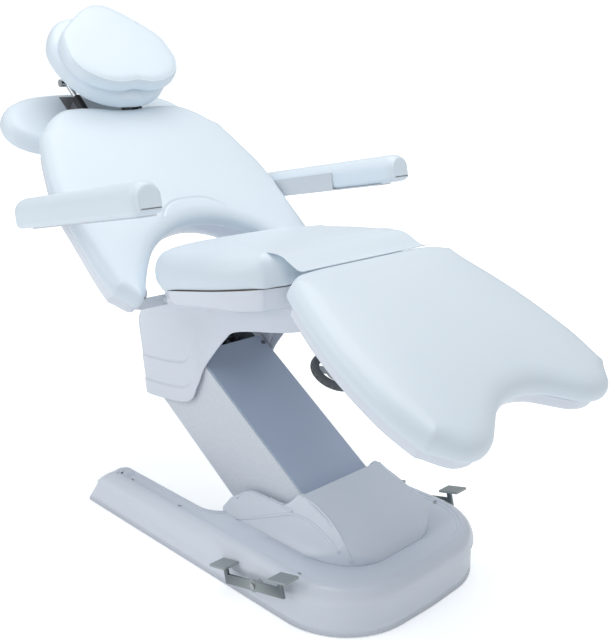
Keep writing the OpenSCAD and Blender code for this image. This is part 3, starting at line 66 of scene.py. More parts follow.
def aim_camera():
    """Camera at the photograph's place, looking down at the seat from the bed's right front."""
    heading, dip = radians(CAMERA_HEADING), radians(CAMERA_DIP)
    ahead = Vector((-cos(heading) * cos(dip), sin(heading) * cos(dip), -sin(dip)))
    data = bpy.data.cameras.new("photo_camera")
    data.sensor_fit = "VERTICAL"
    data.sensor_height = data.sensor_width = SENSOR
    data.lens = FOCAL_PX / PHOTO_H * SENSOR
    data.clip_end = FAR_CLIP
    camera = bpy.data.objects.new("photo_camera", data)
    bpy.context.scene.collection.objects.link(camera)
    turn = ahead.to_track_quat("-Z", "Y").to_matrix().to_4x4()
    camera.matrix_world = Matrix.Translation(CAMERA_PLACE) @ turn
    bpy.context.scene.camera = camera


aim_camera()


# places of the moving frames: tilt in degrees and pivot, as in the part's source

def turned(angle, x=0.0, z=0.0):
    """Frame turned about +Y by an angle in degrees, at x and z of the frame that holds it."""
    return Matrix.Translation((x, 0, z)) @ Matrix.Rotation(radians(angle), 4, "Y")


LIFT_X, LIFT_Z = 0.094, 0.095
LEG_HINGE_X, LEG_HINGE_Z = 0.371, 0.0425
FLOOR = Matrix.Identity(4)
SEAT = turned(-9, -0.0603, 0.66505)
BACK = SEAT @ turned(49.85, -0.1965, 0.0504)
HEAD = BACK @ turned(7.05, -0.6054, 0.197)
ARM = BACK @ turned(-50.85, -0.302, 0)
LEG = SEAT @ turned(35.65, LEG_HINGE_X, LEG_HINGE_Z)


# outlines

QUARTER = np.array([[0, 1], [-1, 0]])


def along(p):
    """Unit steps from each point of a closed outline to the next."""
    d = np.roll(p, -1, 0) - p
    return d / np.maximum(np.linalg.norm(d, axis=1, keepdims=True), 1e-9)


def inward(p):
    """Unit steps inward from each side of a closed outline."""
    return along(p) @ QUARTER


def inset(p, d):
    """Closed outline moved inward by d, with mitred corners."""
    n = inward(p)
    m = n + np.roll(n, 1, 0)
    share = np.maximum(1 + (n * np.roll(n, 1, 0)).sum(1, keepdims=True), 0.6)
    return p + d * m / share


def rounded(corners, steps=14):
    """Closed outline of corners (x, y, radius) with round corners."""
    out = []
    n = len(corners)
    for i, (x, y, r) in enumerate(corners):
        p = np.array((x, y), float)
        before, after = np.array(corners[i - 1][:2], float), np.array(corners[(i + 1) % n][:2], float)
        d1, d2 = (p - before) / np.linalg.norm(p - before), (after - p) / np.linalg.norm(after - p)
        side = 1 if d1[0] * d2[1] - d1[1] * d2[0] > 0 else -1
        turn = acos(max(-1, min(1, float(d1 @ d2))))
        start = p - r * tan(turn / 2) * d1
        m = start + side * r * np.array((-d1[1], d1[0]))
        a0 = atan2(start[1] - m[1], start[0] - m[0])
        for k in range(steps + 1):
            a = a0 + side * turn * k / steps
            out.append(m + r * np.array((cos(a), sin(a))))
    return np.array(out)


def between(a, b, c, d, w):
    """Smooth value at share w of the way from b to c, with a before and d after them."""
    return b + 0.5 * w * (c - a + w * (2 * a - 5 * b + 4 * c - d + w * (3 * (b - c) + d - a)))


def ease(table, t):
    """Smooth value of an even table at shares t of its length."""
    table = np.array(table, float)
    n = len(table) - 1
    f = np.clip(np.asarray(t, float), 0, 1) * n
    i = np.minimum(f.astype(int), n - 1)
    w = f - i
    return between(*(table[np.clip(i + k, 0, n)] for k in (-1, 0, 1, 2)), w)


def evened(p, step, closed=True):
    """Smooth curve through points, cut into even steps of about this length."""
    p = np.array(p, float)
    n = len(p)
    cuts = 12
    w = (np.arange(cuts) / cuts)[:, None]
    runs = []
    for i in range(n if closed else n - 1):
        if closed:
            a, b, c, d = p[i - 1], p[i], p[(i + 1) % n], p[(i + 2) % n]
        else:
            a, b, c, d = p[max(i - 1, 0)], p[i], p[i + 1], p[min(i + 2, n - 1)]
        runs.append(between(a, b, c, d, w))
    q = np.concatenate(runs + [p[:1] if closed else p[-1:]])
    s = np.concatenate([[0], np.cumsum(np.linalg.norm(np.diff(q, axis=0), axis=1))])
    count = max(int(round(s[-1] / step)), 3)
    at = np.linspace(0, s[-1], count + 1)
    q = np.stack([np.interp(at, s, q[:, j]) for j in range(q.shape[1])], 1)
    return q[:-1] if closed else q


def curved(points, step=0.006):
    """Smooth open curve through points, in even steps."""
    return evened(points, step, closed=False)


def panel(width, length, sides, near, far, way, shift=0.0, n=60, m=30):
    """Closed outline of an upholstered panel with shaped sides and ends."""
    def spot(u, v):
        s = ease(near, abs(u)) + v * (ease(far, abs(u)) - ease(near, abs(u)))
        return way * s * length + shift, -way * u * ease(sides, s) * width / 2
    across = np.sin(pi / 2 * (2 * np.arange(n) / n - 1))
    up = np.arange(m) / m
    return np.array([spot(u, 0) for u in across] + [spot(1, v) for v in up]
                    + [spot(-u, 1) for u in across] + [spot(-1, 1 - v) for v in up])


def mirrored(half, length, width, way):
    """Closed outline from a half outline of (along, half width) shares."""
    right = [(way * a * length, -way * b * width) for a, b in half]
    back = [(x, -y) for x, y in right[::-1] if abs(y) > 1e-9]
    return np.array(right + back)


# meshes

def smooth_step(t):
    """Share from 0 to 1 that starts and ends level."""
    t = np.clip(t, 0, 1)
    return t * t * (3 - 2 * t)


def piece(name, points, faces, place=FLOOR, sharp=38, slot=None, body=None, stands_for=(), looks=None):
    """A mesh piece in the shared frame, smooth but for edges sharper than an angle in degrees."""
    mesh = bpy.data.meshes.new(name)
    spots = [tuple(place @ Vector(p)) for p in np.asarray(points, float)]
    mesh.from_pydata(spots, [], [tuple(map(int, f)) for f in faces])
    mesh.validate()
    work = bmesh.new()
    work.from_mesh(mesh)
    bmesh.ops.recalc_face_normals(work, faces=work.faces)
    work.to_mesh(mesh)
    work.free()
    mesh.shade_smooth()
    if sharp:
        mesh.set_sharp_from_angle(angle=radians(sharp))
    obj = bpy.data.objects.new(name, mesh)
    bpy.context.scene.collection.objects.link(obj)
    if looks:
        mesh.materials.append(looks)
    if body:
        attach(obj, body)
    if stands_for:
        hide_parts(*stands_for)
    return obj


def band_faces(rows, count, closed_rows=False, closed=True):
    """Four-sided faces between rows of equal count."""
    faces = []
    for j in range(rows if closed_rows else rows - 1):
        a, b = j * count, ((j + 1) % rows) * count
        for i in range(count if closed else count - 1):
            k = (i + 1) % count
            faces.append((a + i, a + k, b + k, b + i))
    return faces


def lids(rings):
    """Points and faces of stacked closed rings with a flat lid at each end."""
    n = len(rings[0])
    points = np.concatenate(rings)
    faces = band_faces(len(rings), n)
    faces.append(tuple(range(n - 1, -1, -1)))
    faces.append(tuple((len(rings) - 1) * n + i for i in range(n)))
    return points, faces


def soft_distance(points, outline):
    """Smooth distance of plan points from an outline, without creases."""
    d = np.linalg.norm(points[:, None, :] - outline[None, :, :], axis=2)
    d = np.maximum(d, 1e-5)
    return (np.mean(d ** -4.0, 1)) ** -0.25


def room(p):
    """Radius of the largest circle that fits inside a closed outline and touches it at each point."""
    n = inward(p)
    n = n + np.roll(n, 1, 0)
    n /= np.linalg.norm(n, axis=1, keepdims=True)
    gap = p[None, :, :] - p[:, None, :]
    depth = (gap * n[:, None, :]).sum(2)
    far = (gap ** 2).sum(2)
    radius = np.where(depth > 1e-5, far / np.maximum(2 * depth, 1e-9), 1e3)
    near = np.abs(np.subtract.outer(np.arange(len(p)), np.arange(len(p))))
    radius[(near < 2) | (near > len(p) - 2)] = 1e3
    return radius.min(1)


def line_distance(points, line):
    """Distance of plan points from an open line of points."""
    best = np.full(len(points), 1e9)
    for a, b in zip(line[:-1], line[1:]):
        ab = b - a
        t = np.clip(((points - a) @ ab) / max(ab @ ab, 1e-12), 0, 1)
        best = np.minimum(best, np.linalg.norm(points - a - t[:, None] * ab, axis=1))
    return best


def inside(points, outline):
    """Which plan points lie inside a closed outline."""
    x, y = points[:, 0][:, None], points[:, 1][:, None]
    x0, y0 = outline[:, 0][None], outline[:, 1][None]
    x1, y1 = np.roll(outline[:, 0], -1)[None], np.roll(outline[:, 1], -1)[None]
    hits = ((y0 > y) != (y1 > y)) & (x < (x1 - x0) * (y - y0) / np.where(y1 == y0, 1e-12, y1 - y0) + x0)
    return hits.sum(1) % 2 == 1


# section of a padded edge: share of the thickness, share of the edge's width
EDGE = np.array([(0, 0.34), (0.05, 0.17), (0.14, 0.06), (0.28, 0), (0.42, 0), (0.56, 0.03), (0.68, 0.09),
                 (0.78, 0.18), (0.865, 0.32), (0.93, 0.5), (0.975, 0.74), (1.0, 1.0)])
EDGE_ROOM = 0.86  # share of the free room that an edge may take
ROW = 0.8660254  # rows of an even triangular net, in steps of its grid
SEAM_LINES = (-2.6, -1.6, -0.8, 0, 0.8, 1.6, 2.6)  # lines of points beside a seam, in its widths


def cushion_form(outline, low, thick, edge, crown=0.0, thin=None, seams=(), grid=0.013, step=0.009,
                 section=EDGE):
    """Points and faces of a crowned cushion: a drawn-in foot, a full side and a domed top.

    thin(x) is the share of the thickness left there; seams are (line, depth, width) in plan.
    """
    outline = evened(outline, step)
    n = len(outline)
    width = np.minimum(edge, EDGE_ROOM * room(outline))
    for _ in range(12):
        width = np.minimum(width, (np.roll(width, 1) + 2 * width + np.roll(width, -1)) / 4)
    rings = curved(section, 0.05)
    points = [inset(outline, pull * width[:, None]) for _, pull in rings]
    last = points[-1]
    xs = np.arange(outline[:, 0].min(), outline[:, 0].max(), grid)
    ys = np.arange(outline[:, 1].min(), outline[:, 1].max(), grid * ROW)
    net = np.array([(x + (0.5 * grid if j % 2 else 0), y) for j, y in enumerate(ys) for x in xs])
    net = net[inside(net, last)]
    net = net[np.linalg.norm(net[:, None] - last[None], axis=2).min(1) > 0.6 * grid]
    seams = [(curved(line), depth, width) for line, depth, width in seams]
    extra = []
    for line, depth, width in seams:
        net = net[line_distance(net, line) > SEAM_LINES[-1] * width + 0.4 * grid]
        beside = np.gradient(line, axis=0)
        beside = beside / np.linalg.norm(beside, axis=1, keepdims=True) @ QUARTER
        extra += [line + k * width * beside for k in SEAM_LINES]
    core = np.concatenate([net] + extra)
    core = core[inside(core, inset(last, 0.002))]
    tris = plan_triangles(np.concatenate([last, core]), n)
    base = (len(rings) - 1) * n
    plan = np.concatenate(points + [core])
    share = np.concatenate([np.full(n, h) for h, _ in rings] + [np.ones(len(core))])
    z = low + share * (thin(plan[:, 0]) * thick if thin else thick)
    soft = soft_distance(plan, outline[::2])
    reach = soft / soft.max()
    z = z + crown * share ** 3 * reach * (2 - reach)
    for line, depth, width in seams:
        d = line_distance(plan, line) / width
        z = z - (share > 0.9) * depth * (np.exp(-(d * 1.2) ** 2) - 0.28 * np.exp(-((d - 1.9) * 1.3) ** 2))
    faces = band_faces(len(rings), n)
    faces += [tuple(base + i for i in t) for t in tris]
    faces.append(tuple(range(n - 1, -1, -1)))
    return np.column_stack([plan, z]), faces


def plan_triangles(points, count):
    """Triangles over plan points inside the outline that their first count points make."""
    spots = [Vector(p[:2]) for p in points]
    _, _, found, given, _, _ = delaunay_2d_cdt(spots, [], [list(range(count))], 1, 1e-7)
    return [tuple(given[i][0] for i in t) for t in found if all(given[i] for i in t)]


def tube(name, line, radius, place, closed=False, sides=8, **put):
    """Round cord of even thickness along a line of points."""
    line = np.array(line, float)
    n = len(line)
    if closed:
        ahead = np.roll(line, -1, 0) - np.roll(line, 1, 0)
    else:
        ahead = np.gradient(line, axis=0)
    ahead /= np.maximum(np.linalg.norm(ahead, axis=1, keepdims=True), 1e-9)
    up = np.tile(np.array((0, 0, 1.0)), (n, 1))
    side = np.cross(ahead, up)
    side /= np.maximum(np.linalg.norm(side, axis=1, keepdims=True), 1e-9)
    up = np.cross(side, ahead)
    rings = [line + radius * (cos(a) * side + sin(a) * up) for a in np.arange(sides) * 2 * pi / sides]
    points = np.stack(rings, 1).reshape(-1, 3)
    faces = band_faces(n, sides, closed_rows=closed)
    if not closed:
        faces.append(tuple(range(sides - 1, -1, -1)))
        faces.append(tuple((n - 1) * sides + i for i in range(sides)))
    return piece(name, points, faces, place, sharp=None, **put)


# finishes

def group(name, inputs, outputs, build):
    """Shader node group with named inputs (name, kind, value) and outputs (name, kind)."""
    tree = bpy.data.node_groups.new(name, "ShaderNodeTree")
    kinds = {"f": "NodeSocketFloat", "c": "NodeSocketColor", "v": "NodeSocketVector"}
    for title, kind, value in inputs:
        socket = tree.interface.new_socket(title, in_out="INPUT", socket_type=kinds[kind])
        socket.default_value = value
    for title, kind in outputs:
        tree.interface.new_socket(title, in_out="OUTPUT", socket_type=kinds[kind])
    build(tree, tree.nodes.new("NodeGroupInput"), tree.nodes.new("NodeGroupOutput"))
    return tree


def node(tree, kind, links=None, **values):
    """A node with its settings and linked or plain inputs."""
    made = tree.nodes.new(kind)
    for key, value in values.items():
        setattr(made, key, value)
    for key, value in (links or {}).items():
        if isinstance(value, bpy.types.NodeSocket):
            tree.links.new(value, made.inputs[key])
        else:
            made.inputs[key].default_value = value
    return made


def math(tree, operation, a, b):
    """Result of a sum of two sockets or plain values."""
    return node(tree, "ShaderNodeMath", {0: a, 1: b}, operation=operation).outputs[0]


def build_leather(tree, enter, leave):
    """Fine pebbled grain with soft creases, for coated upholstery."""
    place = node(tree, "ShaderNodeTexCoord").outputs["Object"]
    cells = node(tree, "ShaderNodeTexVoronoi", {"Vector": place, "Scale": enter.outputs["Pebble scale"]},
                 feature="SMOOTH_F1").outputs["Distance"]
    wrinkle = node(tree, "ShaderNodeTexNoise", {"Vector": place, "Scale": enter.outputs["Crease scale"],
                                                "Detail": 5.0, "Roughness": 0.55}).outputs["Fac"]
    cloud = node(tree, "ShaderNodeTexNoise", {"Vector": place, "Scale": 3.2, "Detail": 3.0}).outputs["Fac"]
    height = math(tree, "ADD", math(tree, "MULTIPLY", cells, 0.7), math(tree, "MULTIPLY", wrinkle, 0.5))
    tree.links.new(height, leave.inputs["Height"])
    tree.links.new(cloud, leave.inputs["Cloud"])
    tree.links.new(wrinkle, leave.inputs["Crease"])


def build_moulding(tree, enter, leave):
    """Slow ripple and fine specks of a moulded or painted skin."""
    place = node(tree, "ShaderNodeTexCoord").outputs["Object"]
    ripple = node(tree, "ShaderNodeTexNoise", {"Vector": place, "Scale": enter.outputs["Ripple scale"],
                                               "Detail": 2.0, "Roughness": 0.4}).outputs["Fac"]
    speck = node(tree, "ShaderNodeTexNoise", {"Vector": place, "Scale": enter.outputs["Speck scale"],
                                              "Detail": 6.0, "Roughness": 0.7}).outputs["Fac"]
    tree.links.new(ripple, leave.inputs["Ripple"])
    tree.links.new(speck, leave.inputs["Speck"])


def build_edges(tree, enter, leave):
    """Mask of worn edges from the surface's own sharpness."""
    point = node(tree, "ShaderNodeNewGeometry").outputs["Pointiness"]
    rub = node(tree, "ShaderNodeTexNoise", {"Scale": 60.0, "Detail": 4.0}).outputs["Fac"]
    lifted = math(tree, "ADD", point, math(tree, "MULTIPLY", math(tree, "SUBTRACT", rub, 0.5), 0.03))
    mask = node(tree, "ShaderNodeMapRange", {"Value": lifted, "From Min": enter.outputs["Start"],
                                             "From Max": enter.outputs["End"]}).outputs[0]
    tree.links.new(mask, leave.inputs["Mask"])


LEATHER = group("coated leather grain", [("Pebble scale", "f", 900.0), ("Crease scale", "f", 45.0)],
                [("Height", "f"), ("Cloud", "f"), ("Crease", "f")], build_leather)
MOULDING = group("moulding ripple", [("Ripple scale", "f", 6.0), ("Speck scale", "f", 130.0)],
                 [("Ripple", "f"), ("Speck", "f")], build_moulding)
EDGES = group("worn edges", [("Start", "f", 0.53), ("End", "f", 0.6)], [("Mask", "f")], build_edges)


def finish(name, **plain):
    """A material with its Principled BSDF and these plain socket values."""
    made = bpy.data.materials.new(name)
    made.use_nodes = True
    shader = made.node_tree.nodes["Principled BSDF"]
    for key, value in plain.items():
        shader.inputs[key.replace("_", " ")].default_value = value
    return made, made.node_tree, shader


def use(tree, which, **values):
    """A node group placed in a material with its own values."""
    placed = tree.nodes.new("ShaderNodeGroup")
    placed.node_tree = which
    for key, value in values.items():
        placed.inputs[key.replace("_", " ")].default_value = value
    return placed


def tint(tree, factor, low, high):
    """Colour between two, by a mask."""
    mixed = tree.nodes.new("ShaderNodeMix")
    mixed.data_type = "RGBA"
    mixed.inputs[6].default_value = (*low, 1)
    mixed.inputs[7].default_value = (*high, 1)
    tree.links.new(factor, mixed.inputs[0])
    return mixed.outputs[2]


def spread(tree, value, low, high):
    """Value of a 0 to 1 mask, spread from low to high."""
    return node(tree, "ShaderNodeMapRange", {"Value": value, "To Min": low, "To Max": high}).outputs[0]


def bump(tree, shader, height, strength, distance):
    """Relief of the surface from a height."""
    made = node(tree, "ShaderNodeBump", {"Height": height, "Strength": strength, "Distance": distance})
    tree.links.new(made.outputs[0], shader.inputs["Normal"])


def leatherette(name, low, high, rough=(0.3, 0.44)):
    """Coated leather cloth between two colours."""
    made, tree, shader = finish(name, Specular_IOR_Level=0.5, Coat_Weight=0.12, Coat_Roughness=0.25)
    grain = use(tree, LEATHER, Pebble_scale=1100.0, Crease_scale=34.0)
    tree.links.new(tint(tree, grain.outputs["Cloud"], low, high), shader.inputs["Base Color"])
    tree.links.new(spread(tree, grain.outputs["Crease"], *rough), shader.inputs["Roughness"])
    bump(tree, shader, grain.outputs["Height"], 0.12, 0.0006)
    return made


def moulded(name, low, high, rough=(0.16, 0.3), coat=0.35):
    """Moulded plastic, glossy where it has a coat."""
    made, tree, shader = finish(name, Specular_IOR_Level=0.5, Coat_Weight=coat, Coat_Roughness=0.12)
    skin = use(tree, MOULDING, Ripple_scale=7.0, Speck_scale=160.0)
    tree.links.new(tint(tree, skin.outputs["Ripple"], low, high), shader.inputs["Base Color"])
    tree.links.new(spread(tree, skin.outputs["Speck"], *rough), shader.inputs["Roughness"])
    bump(tree, shader, skin.outputs["Ripple"], 0.18, 0.004)
    return made


def painted(name, paint, bare, rough=(0.3, 0.45), metallic=0.0):
    """Enamel that is rubbed to a second colour at its edges."""
    made, tree, shader = finish(name, Metallic=metallic, Specular_IOR_Level=0.5)
    skin = use(tree, MOULDING, Ripple_scale=18.0, Speck_scale=260.0)
    worn = use(tree, EDGES, Start=0.54, End=0.62)
    tree.links.new(tint(tree, worn.outputs["Mask"], paint, bare), shader.inputs["Base Color"])
    tree.links.new(spread(tree, skin.outputs["Speck"], *rough), shader.inputs["Roughness"])
    bump(tree, shader, skin.outputs["Speck"], 0.1, 0.0006)
    return made


def metal(name, low, high, rough=(0.12, 0.26)):
    """Bare or plated metal."""
    made, tree, shader = finish(name, Metallic=1.0)
    skin = use(tree, MOULDING, Ripple_scale=24.0, Speck_scale=220.0)
    tree.links.new(tint(tree, skin.outputs["Speck"], low, high), shader.inputs["Base Color"])
    tree.links.new(spread(tree, skin.outputs["Ripple"], *rough), shader.inputs["Roughness"])
    bump(tree, shader, skin.outputs["Speck"], 0.06, 0.0003)
    return made


UPHOLSTERY = leatherette("white leatherette", (0.79, 0.88, 0.955), (0.83, 0.915, 0.98))
PIPING = leatherette("leatherette piping", (0.77, 0.86, 0.93), (0.82, 0.90, 0.965), (0.34, 0.46))
COVER = moulded("moulded white cover", (0.79, 0.84, 0.92), (0.82, 0.865, 0.94))
CASING = painted("white casing enamel", (0.68, 0.74, 0.83), (0.76, 0.80, 0.86), (0.22, 0.34))
PANEL = painted("grey blue front panel", (0.42, 0.52, 0.70), (0.52, 0.6, 0.74), (0.3, 0.42))
FRAME = painted("dark frame enamel", (0.035, 0.037, 0.042), (0.2, 0.2, 0.21), (0.38, 0.52))
LIGHT_FRAME = painted("light frame enamel", (0.66, 0.70, 0.76), (0.74, 0.77, 0.81), (0.3, 0.44))
FLOOR_STEEL = painted("floor plate enamel", (0.06, 0.062, 0.068), (0.24, 0.24, 0.25), (0.45, 0.6))
STEEL = metal("turned steel", (0.42, 0.43, 0.45), (0.6, 0.61, 0.63))
CHROME = metal("polished chrome", (0.62, 0.64, 0.66), (0.78, 0.8, 0.82), (0.04, 0.12))
PEDAL = painted("pedal zinc", (0.16, 0.19, 0.20), (0.4, 0.44, 0.44), (0.32, 0.5), metallic=0.55)
BLACK = moulded("black plastic", (0.012, 0.012, 0.014), (0.022, 0.022, 0.025), (0.4, 0.55), coat=0.0)
GREY = moulded("light grey plastic", (0.42, 0.44, 0.45), (0.5, 0.52, 0.53), (0.35, 0.5), coat=0.0)
RUBBER = moulded("wheel rubber", (0.07, 0.078, 0.086), (0.12, 0.13, 0.14), (0.5, 0.7), coat=0.0)
WOOD = moulded("plywood", (0.42, 0.28, 0.15), (0.55, 0.4, 0.24), (0.5, 0.65), coat=0.0)

SLOT_FINISH = {
    "frame_paint": FRAME, "frame_light": LIGHT_FRAME, "floor_steel": FLOOR_STEEL, "pin_steel": STEEL,
    "rod_chrome": CHROME, "cover_white": COVER, "casing_white": CASING, "panel_grey": PANEL,
    "pedal_paint": PEDAL, "black_plastic": BLACK, "grey_plastic": GREY, "wheel_rubber": RUBBER,
    "board_wood": WOOD, "upholstery": UPHOLSTERY,
}


def finish_cad_nodes():
    """Each carried-over CAD node takes the finish of its own slot; the column's screws are blackened."""
    for part in frame["record"]["subparts"]:
        obj = frame["nodes"][part["node"]]
        obj.data.materials.clear()
        obj.data.materials.append(SLOT_FINISH[part["material_slot"]])
    frame["nodes"]["column_screws"].data.materials[0] = FRAME


finish_cad_nodes()


# upholstery


def upholstered(name, form, place, body):
    """Padded piece in place of the CAD node that its name gives after "soft_"."""
    points, faces = form
    made = piece(name, points, faces, place, sharp=None, slot="upholstery", body=body, looks=UPHOLSTERY,
                 stands_for=(name.replace("soft_", ""),))


# outlines of the three main cushions: shares of the half width along the sides, and of the length
# across the ends from the middle out
SEAT_SIDES = [1, 1, 1, 1, 1, 0.997, 0.99, 0.967, 0.92, 0.85, 0.75]
SEAT_REAR = [0, 0.001, 0.003, 0.007, 0.014, 0.025, 0.043, 0.07, 0.107, 0.162, 0.276]
SEAT_FRONT = [1, 1, 1, 1, 1, 1, 1, 1, 1, 0.988, 0.94]
SEAT_W, SEAT_L, SEAT_REAR_X, SEAT_LOW, SEAT_T, SEAT_EDGE = 0.6, 0.5, -0.161, 0.068, 0.1, 0.062
SEAT_THINS = 0.22  # share of its thickness that the seat loses toward its front

BACK_SIDES = [0.94, 0.984, 1, 1, 1, 1, 0.979, 0.93, 0.872, 0.802, 0.762]
BACK_FOOT_END = [0.326, 0.321, 0.31, 0.29, 0.261, 0.22, 0.161, 0.094, 0.034, 0, 0.064]
BACK_TOP_END = [0.97, 0.971, 0.977, 0.984, 0.987, 0.989, 0.987, 0.981, 0.96, 0.921, 0.857]
BACK_W, BACK_L, BACK_FOOT, BACK_LOW, BACK_T, BACK_EDGE = 0.748, 0.7, 0.072, 0.042, 0.045, 0.034
ARCH_FOOT, ARCH_RISE, ARCH_HALF, ARCH_POWER = -0.122, 0.1, 0.125, 2.6  # seam round the backrest's arch
SEAM_DEPTH, SEAM_W = 0.0022, 0.0034

LEG_SIDES = [0.766, 0.83, 0.88, 0.927, 0.962, 0.985, 0.997, 1, 0.98, 0.936, 0.877]
LEG_REAR_END = [0, 0, 0, 0, 0, 0, 0, 0.002, 0.007, 0.019, 0.056]
LEG_FOOT_END = [0.843, 0.846, 0.859, 0.881, 0.915, 0.949, 0.979, 0.995, 0.997, 0.974, 0.89]
LEG_W, LEG_L, LEG_BACK, LEG_LOW, LEG_T, LEG_EDGE = 0.684, 0.573, -0.013, 0.03, 0.05, 0.04
CROWN, LOW_CROWN = 0.012, 0.006


def drawn(width, length, sides, near, far, way, shift, d):
    """Panel outline drawn in by d at its sides and both ends."""
    return panel(width - 2 * d, length, sides, [f + d / length for f in near], [f - d / length for f in far],
                 way, shift)


def seat_loop(d=0.0):
    """Plan of the seat cushion, drawn in by d."""
    return drawn(SEAT_W, SEAT_L, SEAT_SIDES, SEAT_REAR, SEAT_FRONT, 1, SEAT_REAR_X, d)


def back_loop(d=0.0):
    """Plan of the backrest cushion with its two lobes, drawn in by d."""
    return drawn(BACK_W, BACK_L, BACK_SIDES, BACK_FOOT_END, BACK_TOP_END, -1, BACK_FOOT, d)


def leg_loop(d=0.0, rear=0.0):
    """Plan of the leg cushion, drawn in by d and by more at its rear."""
    near = [f + rear / LEG_L for f in LEG_REAR_END]
    return drawn(LEG_W, LEG_L, LEG_SIDES, near, LEG_FOOT_END, 1, LEG_BACK, d)


def pad_seat():
    """Seat cushion, thinner toward its front."""
    form = cushion_form(seat_loop(), SEAT_LOW, SEAT_T, SEAT_EDGE, crown=LOW_CROWN,
                        thin=lambda x: 1 - SEAT_THINS * (x - SEAT_REAR_X) / SEAT_L)
    upholstered("soft_seat_cushion", form, SEAT, "seat")


def pad_back():
    """Backrest cushion with a sewn seam round its arch."""
    t = np.linspace(-1, 1, 33)
    rise = ARCH_RISE * np.maximum(1 - np.abs(t) ** ARCH_POWER, 0) ** 0.5
    arch = np.stack([ARCH_FOOT - rise, ARCH_HALF * t], 1)
    form = cushion_form(back_loop(), BACK_LOW, BACK_T, BACK_EDGE, crown=CROWN,
                        seams=[(arch, SEAM_DEPTH, SEAM_W)])
    upholstered("soft_back_cushion", form, BACK, "backrest")


def pad_leg():
    """Leg cushion with its split foot end."""
    form = cushion_form(leg_loop(), LEG_LOW, LEG_T, LEG_EDGE, crown=CROWN)
    upholstered("soft_leg_cushion", form, LEG, "leg_rest")


# half outlines of the head end's cushions: shares of the length and of the half width
SHELF_HALF = [(0, 0), (0.01, 0.4), (0.08, 0.72), (0.25, 0.93), (0.5, 1), (0.75, 0.93), (0.92, 0.72),
              (0.99, 0.4), (1, 0)]
PILLOW_HALF = [(-0.02, 0), (-0.045, 0.24), (-0.03, 0.48), (0.02, 0.68), (0.1, 0.86), (0.25, 0.98),
               (0.42, 0.97), (0.57, 0.9), (0.72, 0.67), (0.87, 0.37), (0.94, 0.17), (0.96, 0)]
HEAD_HALF = [(-0.085, 0), (-0.08, 0.22), (-0.03, 0.5), (0.06, 0.72), (0.22, 0.9), (0.4, 0.99),
             (0.55, 0.99), (0.68, 0.91), (0.8, 0.77), (0.88, 0.58), (0.92, 0.3), (0.93, 0)]
SHELF_L, SHELF_W, SHELF_X, SHELF_LOW, SHELF_T, SHELF_EDGE = 0.228, 0.325, -0.563, -0.077, 0.06, 0.026
HEAD_L, HEAD_W, HEAD_LOW, HEAD_T, HEAD_EDGE, HEAD_CROWN = 0.314, 0.188, -0.1034, 0.06, 0.028, -0.002
PILLOW_L, PILLOW_W, PILLOW_T, PILLOW_EDGE, PIPING_R = 0.304, 0.186, 0.043, 0.024, 0.0019
PILLOW_SECTION = np.array([(0, 0.25), (0.06, 0.1), (0.2, 0.0), (0.5, -0.02), (0.75, 0.05), (0.86, 0.14),
                           (0.92, 0.3), (0.96, 0.52), (0.985, 0.75), (1, 1)])
# piping round the pillow: distance drawn in and height
PIPINGS = {"pillow_piping_above": (0.0062, -0.0034), "pillow_piping_below": (0.0016, -0.0375)}


def pad_head_end():
    """Shelf cushion, lower head cushion and the piped pillow on it."""
    shelf = evened(mirrored(SHELF_HALF, SHELF_L, SHELF_W, -1), 0.009)
    shelf[:, 0] += SHELF_X
    form = cushion_form(shelf, SHELF_LOW, SHELF_T, SHELF_EDGE, crown=LOW_CROWN)
    upholstered("soft_shelf_cushion", form, BACK, "backrest")
    under = mirrored(HEAD_HALF, HEAD_L, HEAD_W, -1)
    form = cushion_form(under, HEAD_LOW, HEAD_T, HEAD_EDGE, crown=HEAD_CROWN, step=0.008)
    upholstered("soft_headrest_cushion", form, HEAD, "headrest")
    pillow = mirrored(PILLOW_HALF, PILLOW_L, PILLOW_W, -1)
    form = cushion_form(pillow, -PILLOW_T, PILLOW_T, PILLOW_EDGE, crown=LOW_CROWN, step=0.006, grid=0.01,
                        section=PILLOW_SECTION)
    upholstered("soft_head_pillow", form, HEAD, "headrest")
    loop = evened(pillow, 0.005)
    for name, (pull, height) in PIPINGS.items():
        line = inset(loop, pull)
        tube(name, np.column_stack([line, np.full(len(line), height)]), PIPING_R, HEAD, closed=True,
             slot="upholstery", body="headrest", looks=PIPING)


ARM_PLATE_Y, ARM_PLATE_T, PAD_GAP = 0.378, 0.006, 0.0004
PAD_Y = ARM_PLATE_Y + ARM_PLATE_T + PAD_GAP
PAD_W, PAD_LOW, PAD_TOP, PAD_LOW_R, PAD_TOP_R = 0.08, -0.029, 0.049, 0.013, 0.038
PAD_REAR, PAD_FRONT, PAD_PLAIN = -0.026, 0.564, 0.05
# end of an armrest pad: distance from the end, distance drawn in
PAD_END = [(0.0, 0.016), (0.0006, 0.0125), (0.0014, 0.0102), (0.003, 0.0088), (0.0055, 0.0078), (0.008, 0.0074),
           (0.0105, 0.0052), (0.014, 0.003), (0.019, 0.0014), (0.026, 0.0004), (0.036, 0.0)]


def bolster(name, side, body):
    """Armrest pad: a loaf with a sewn end panel at each end."""
    lo, hi = sorted((side * PAD_Y, side * (PAD_Y + PAD_W)))
    section = rounded([(lo, PAD_LOW, PAD_LOW_R), (hi, PAD_LOW, PAD_LOW_R), (hi, PAD_TOP, PAD_TOP_R),
                       (lo, PAD_TOP, PAD_TOP_R)], 10)
    stations = [(PAD_REAR + a, b) for a, b in PAD_END]
    stations += [(x, 0.0) for x in np.linspace(PAD_REAR + PAD_PLAIN, PAD_FRONT - PAD_PLAIN, 40)]
    stations += [(PAD_FRONT - a, b) for a, b in PAD_END[::-1]]
    rings = [np.column_stack([np.full(len(section), x), inset(section, d)]) for x, d in stations]
    upholstered(name, lids(rings), ARM, body)


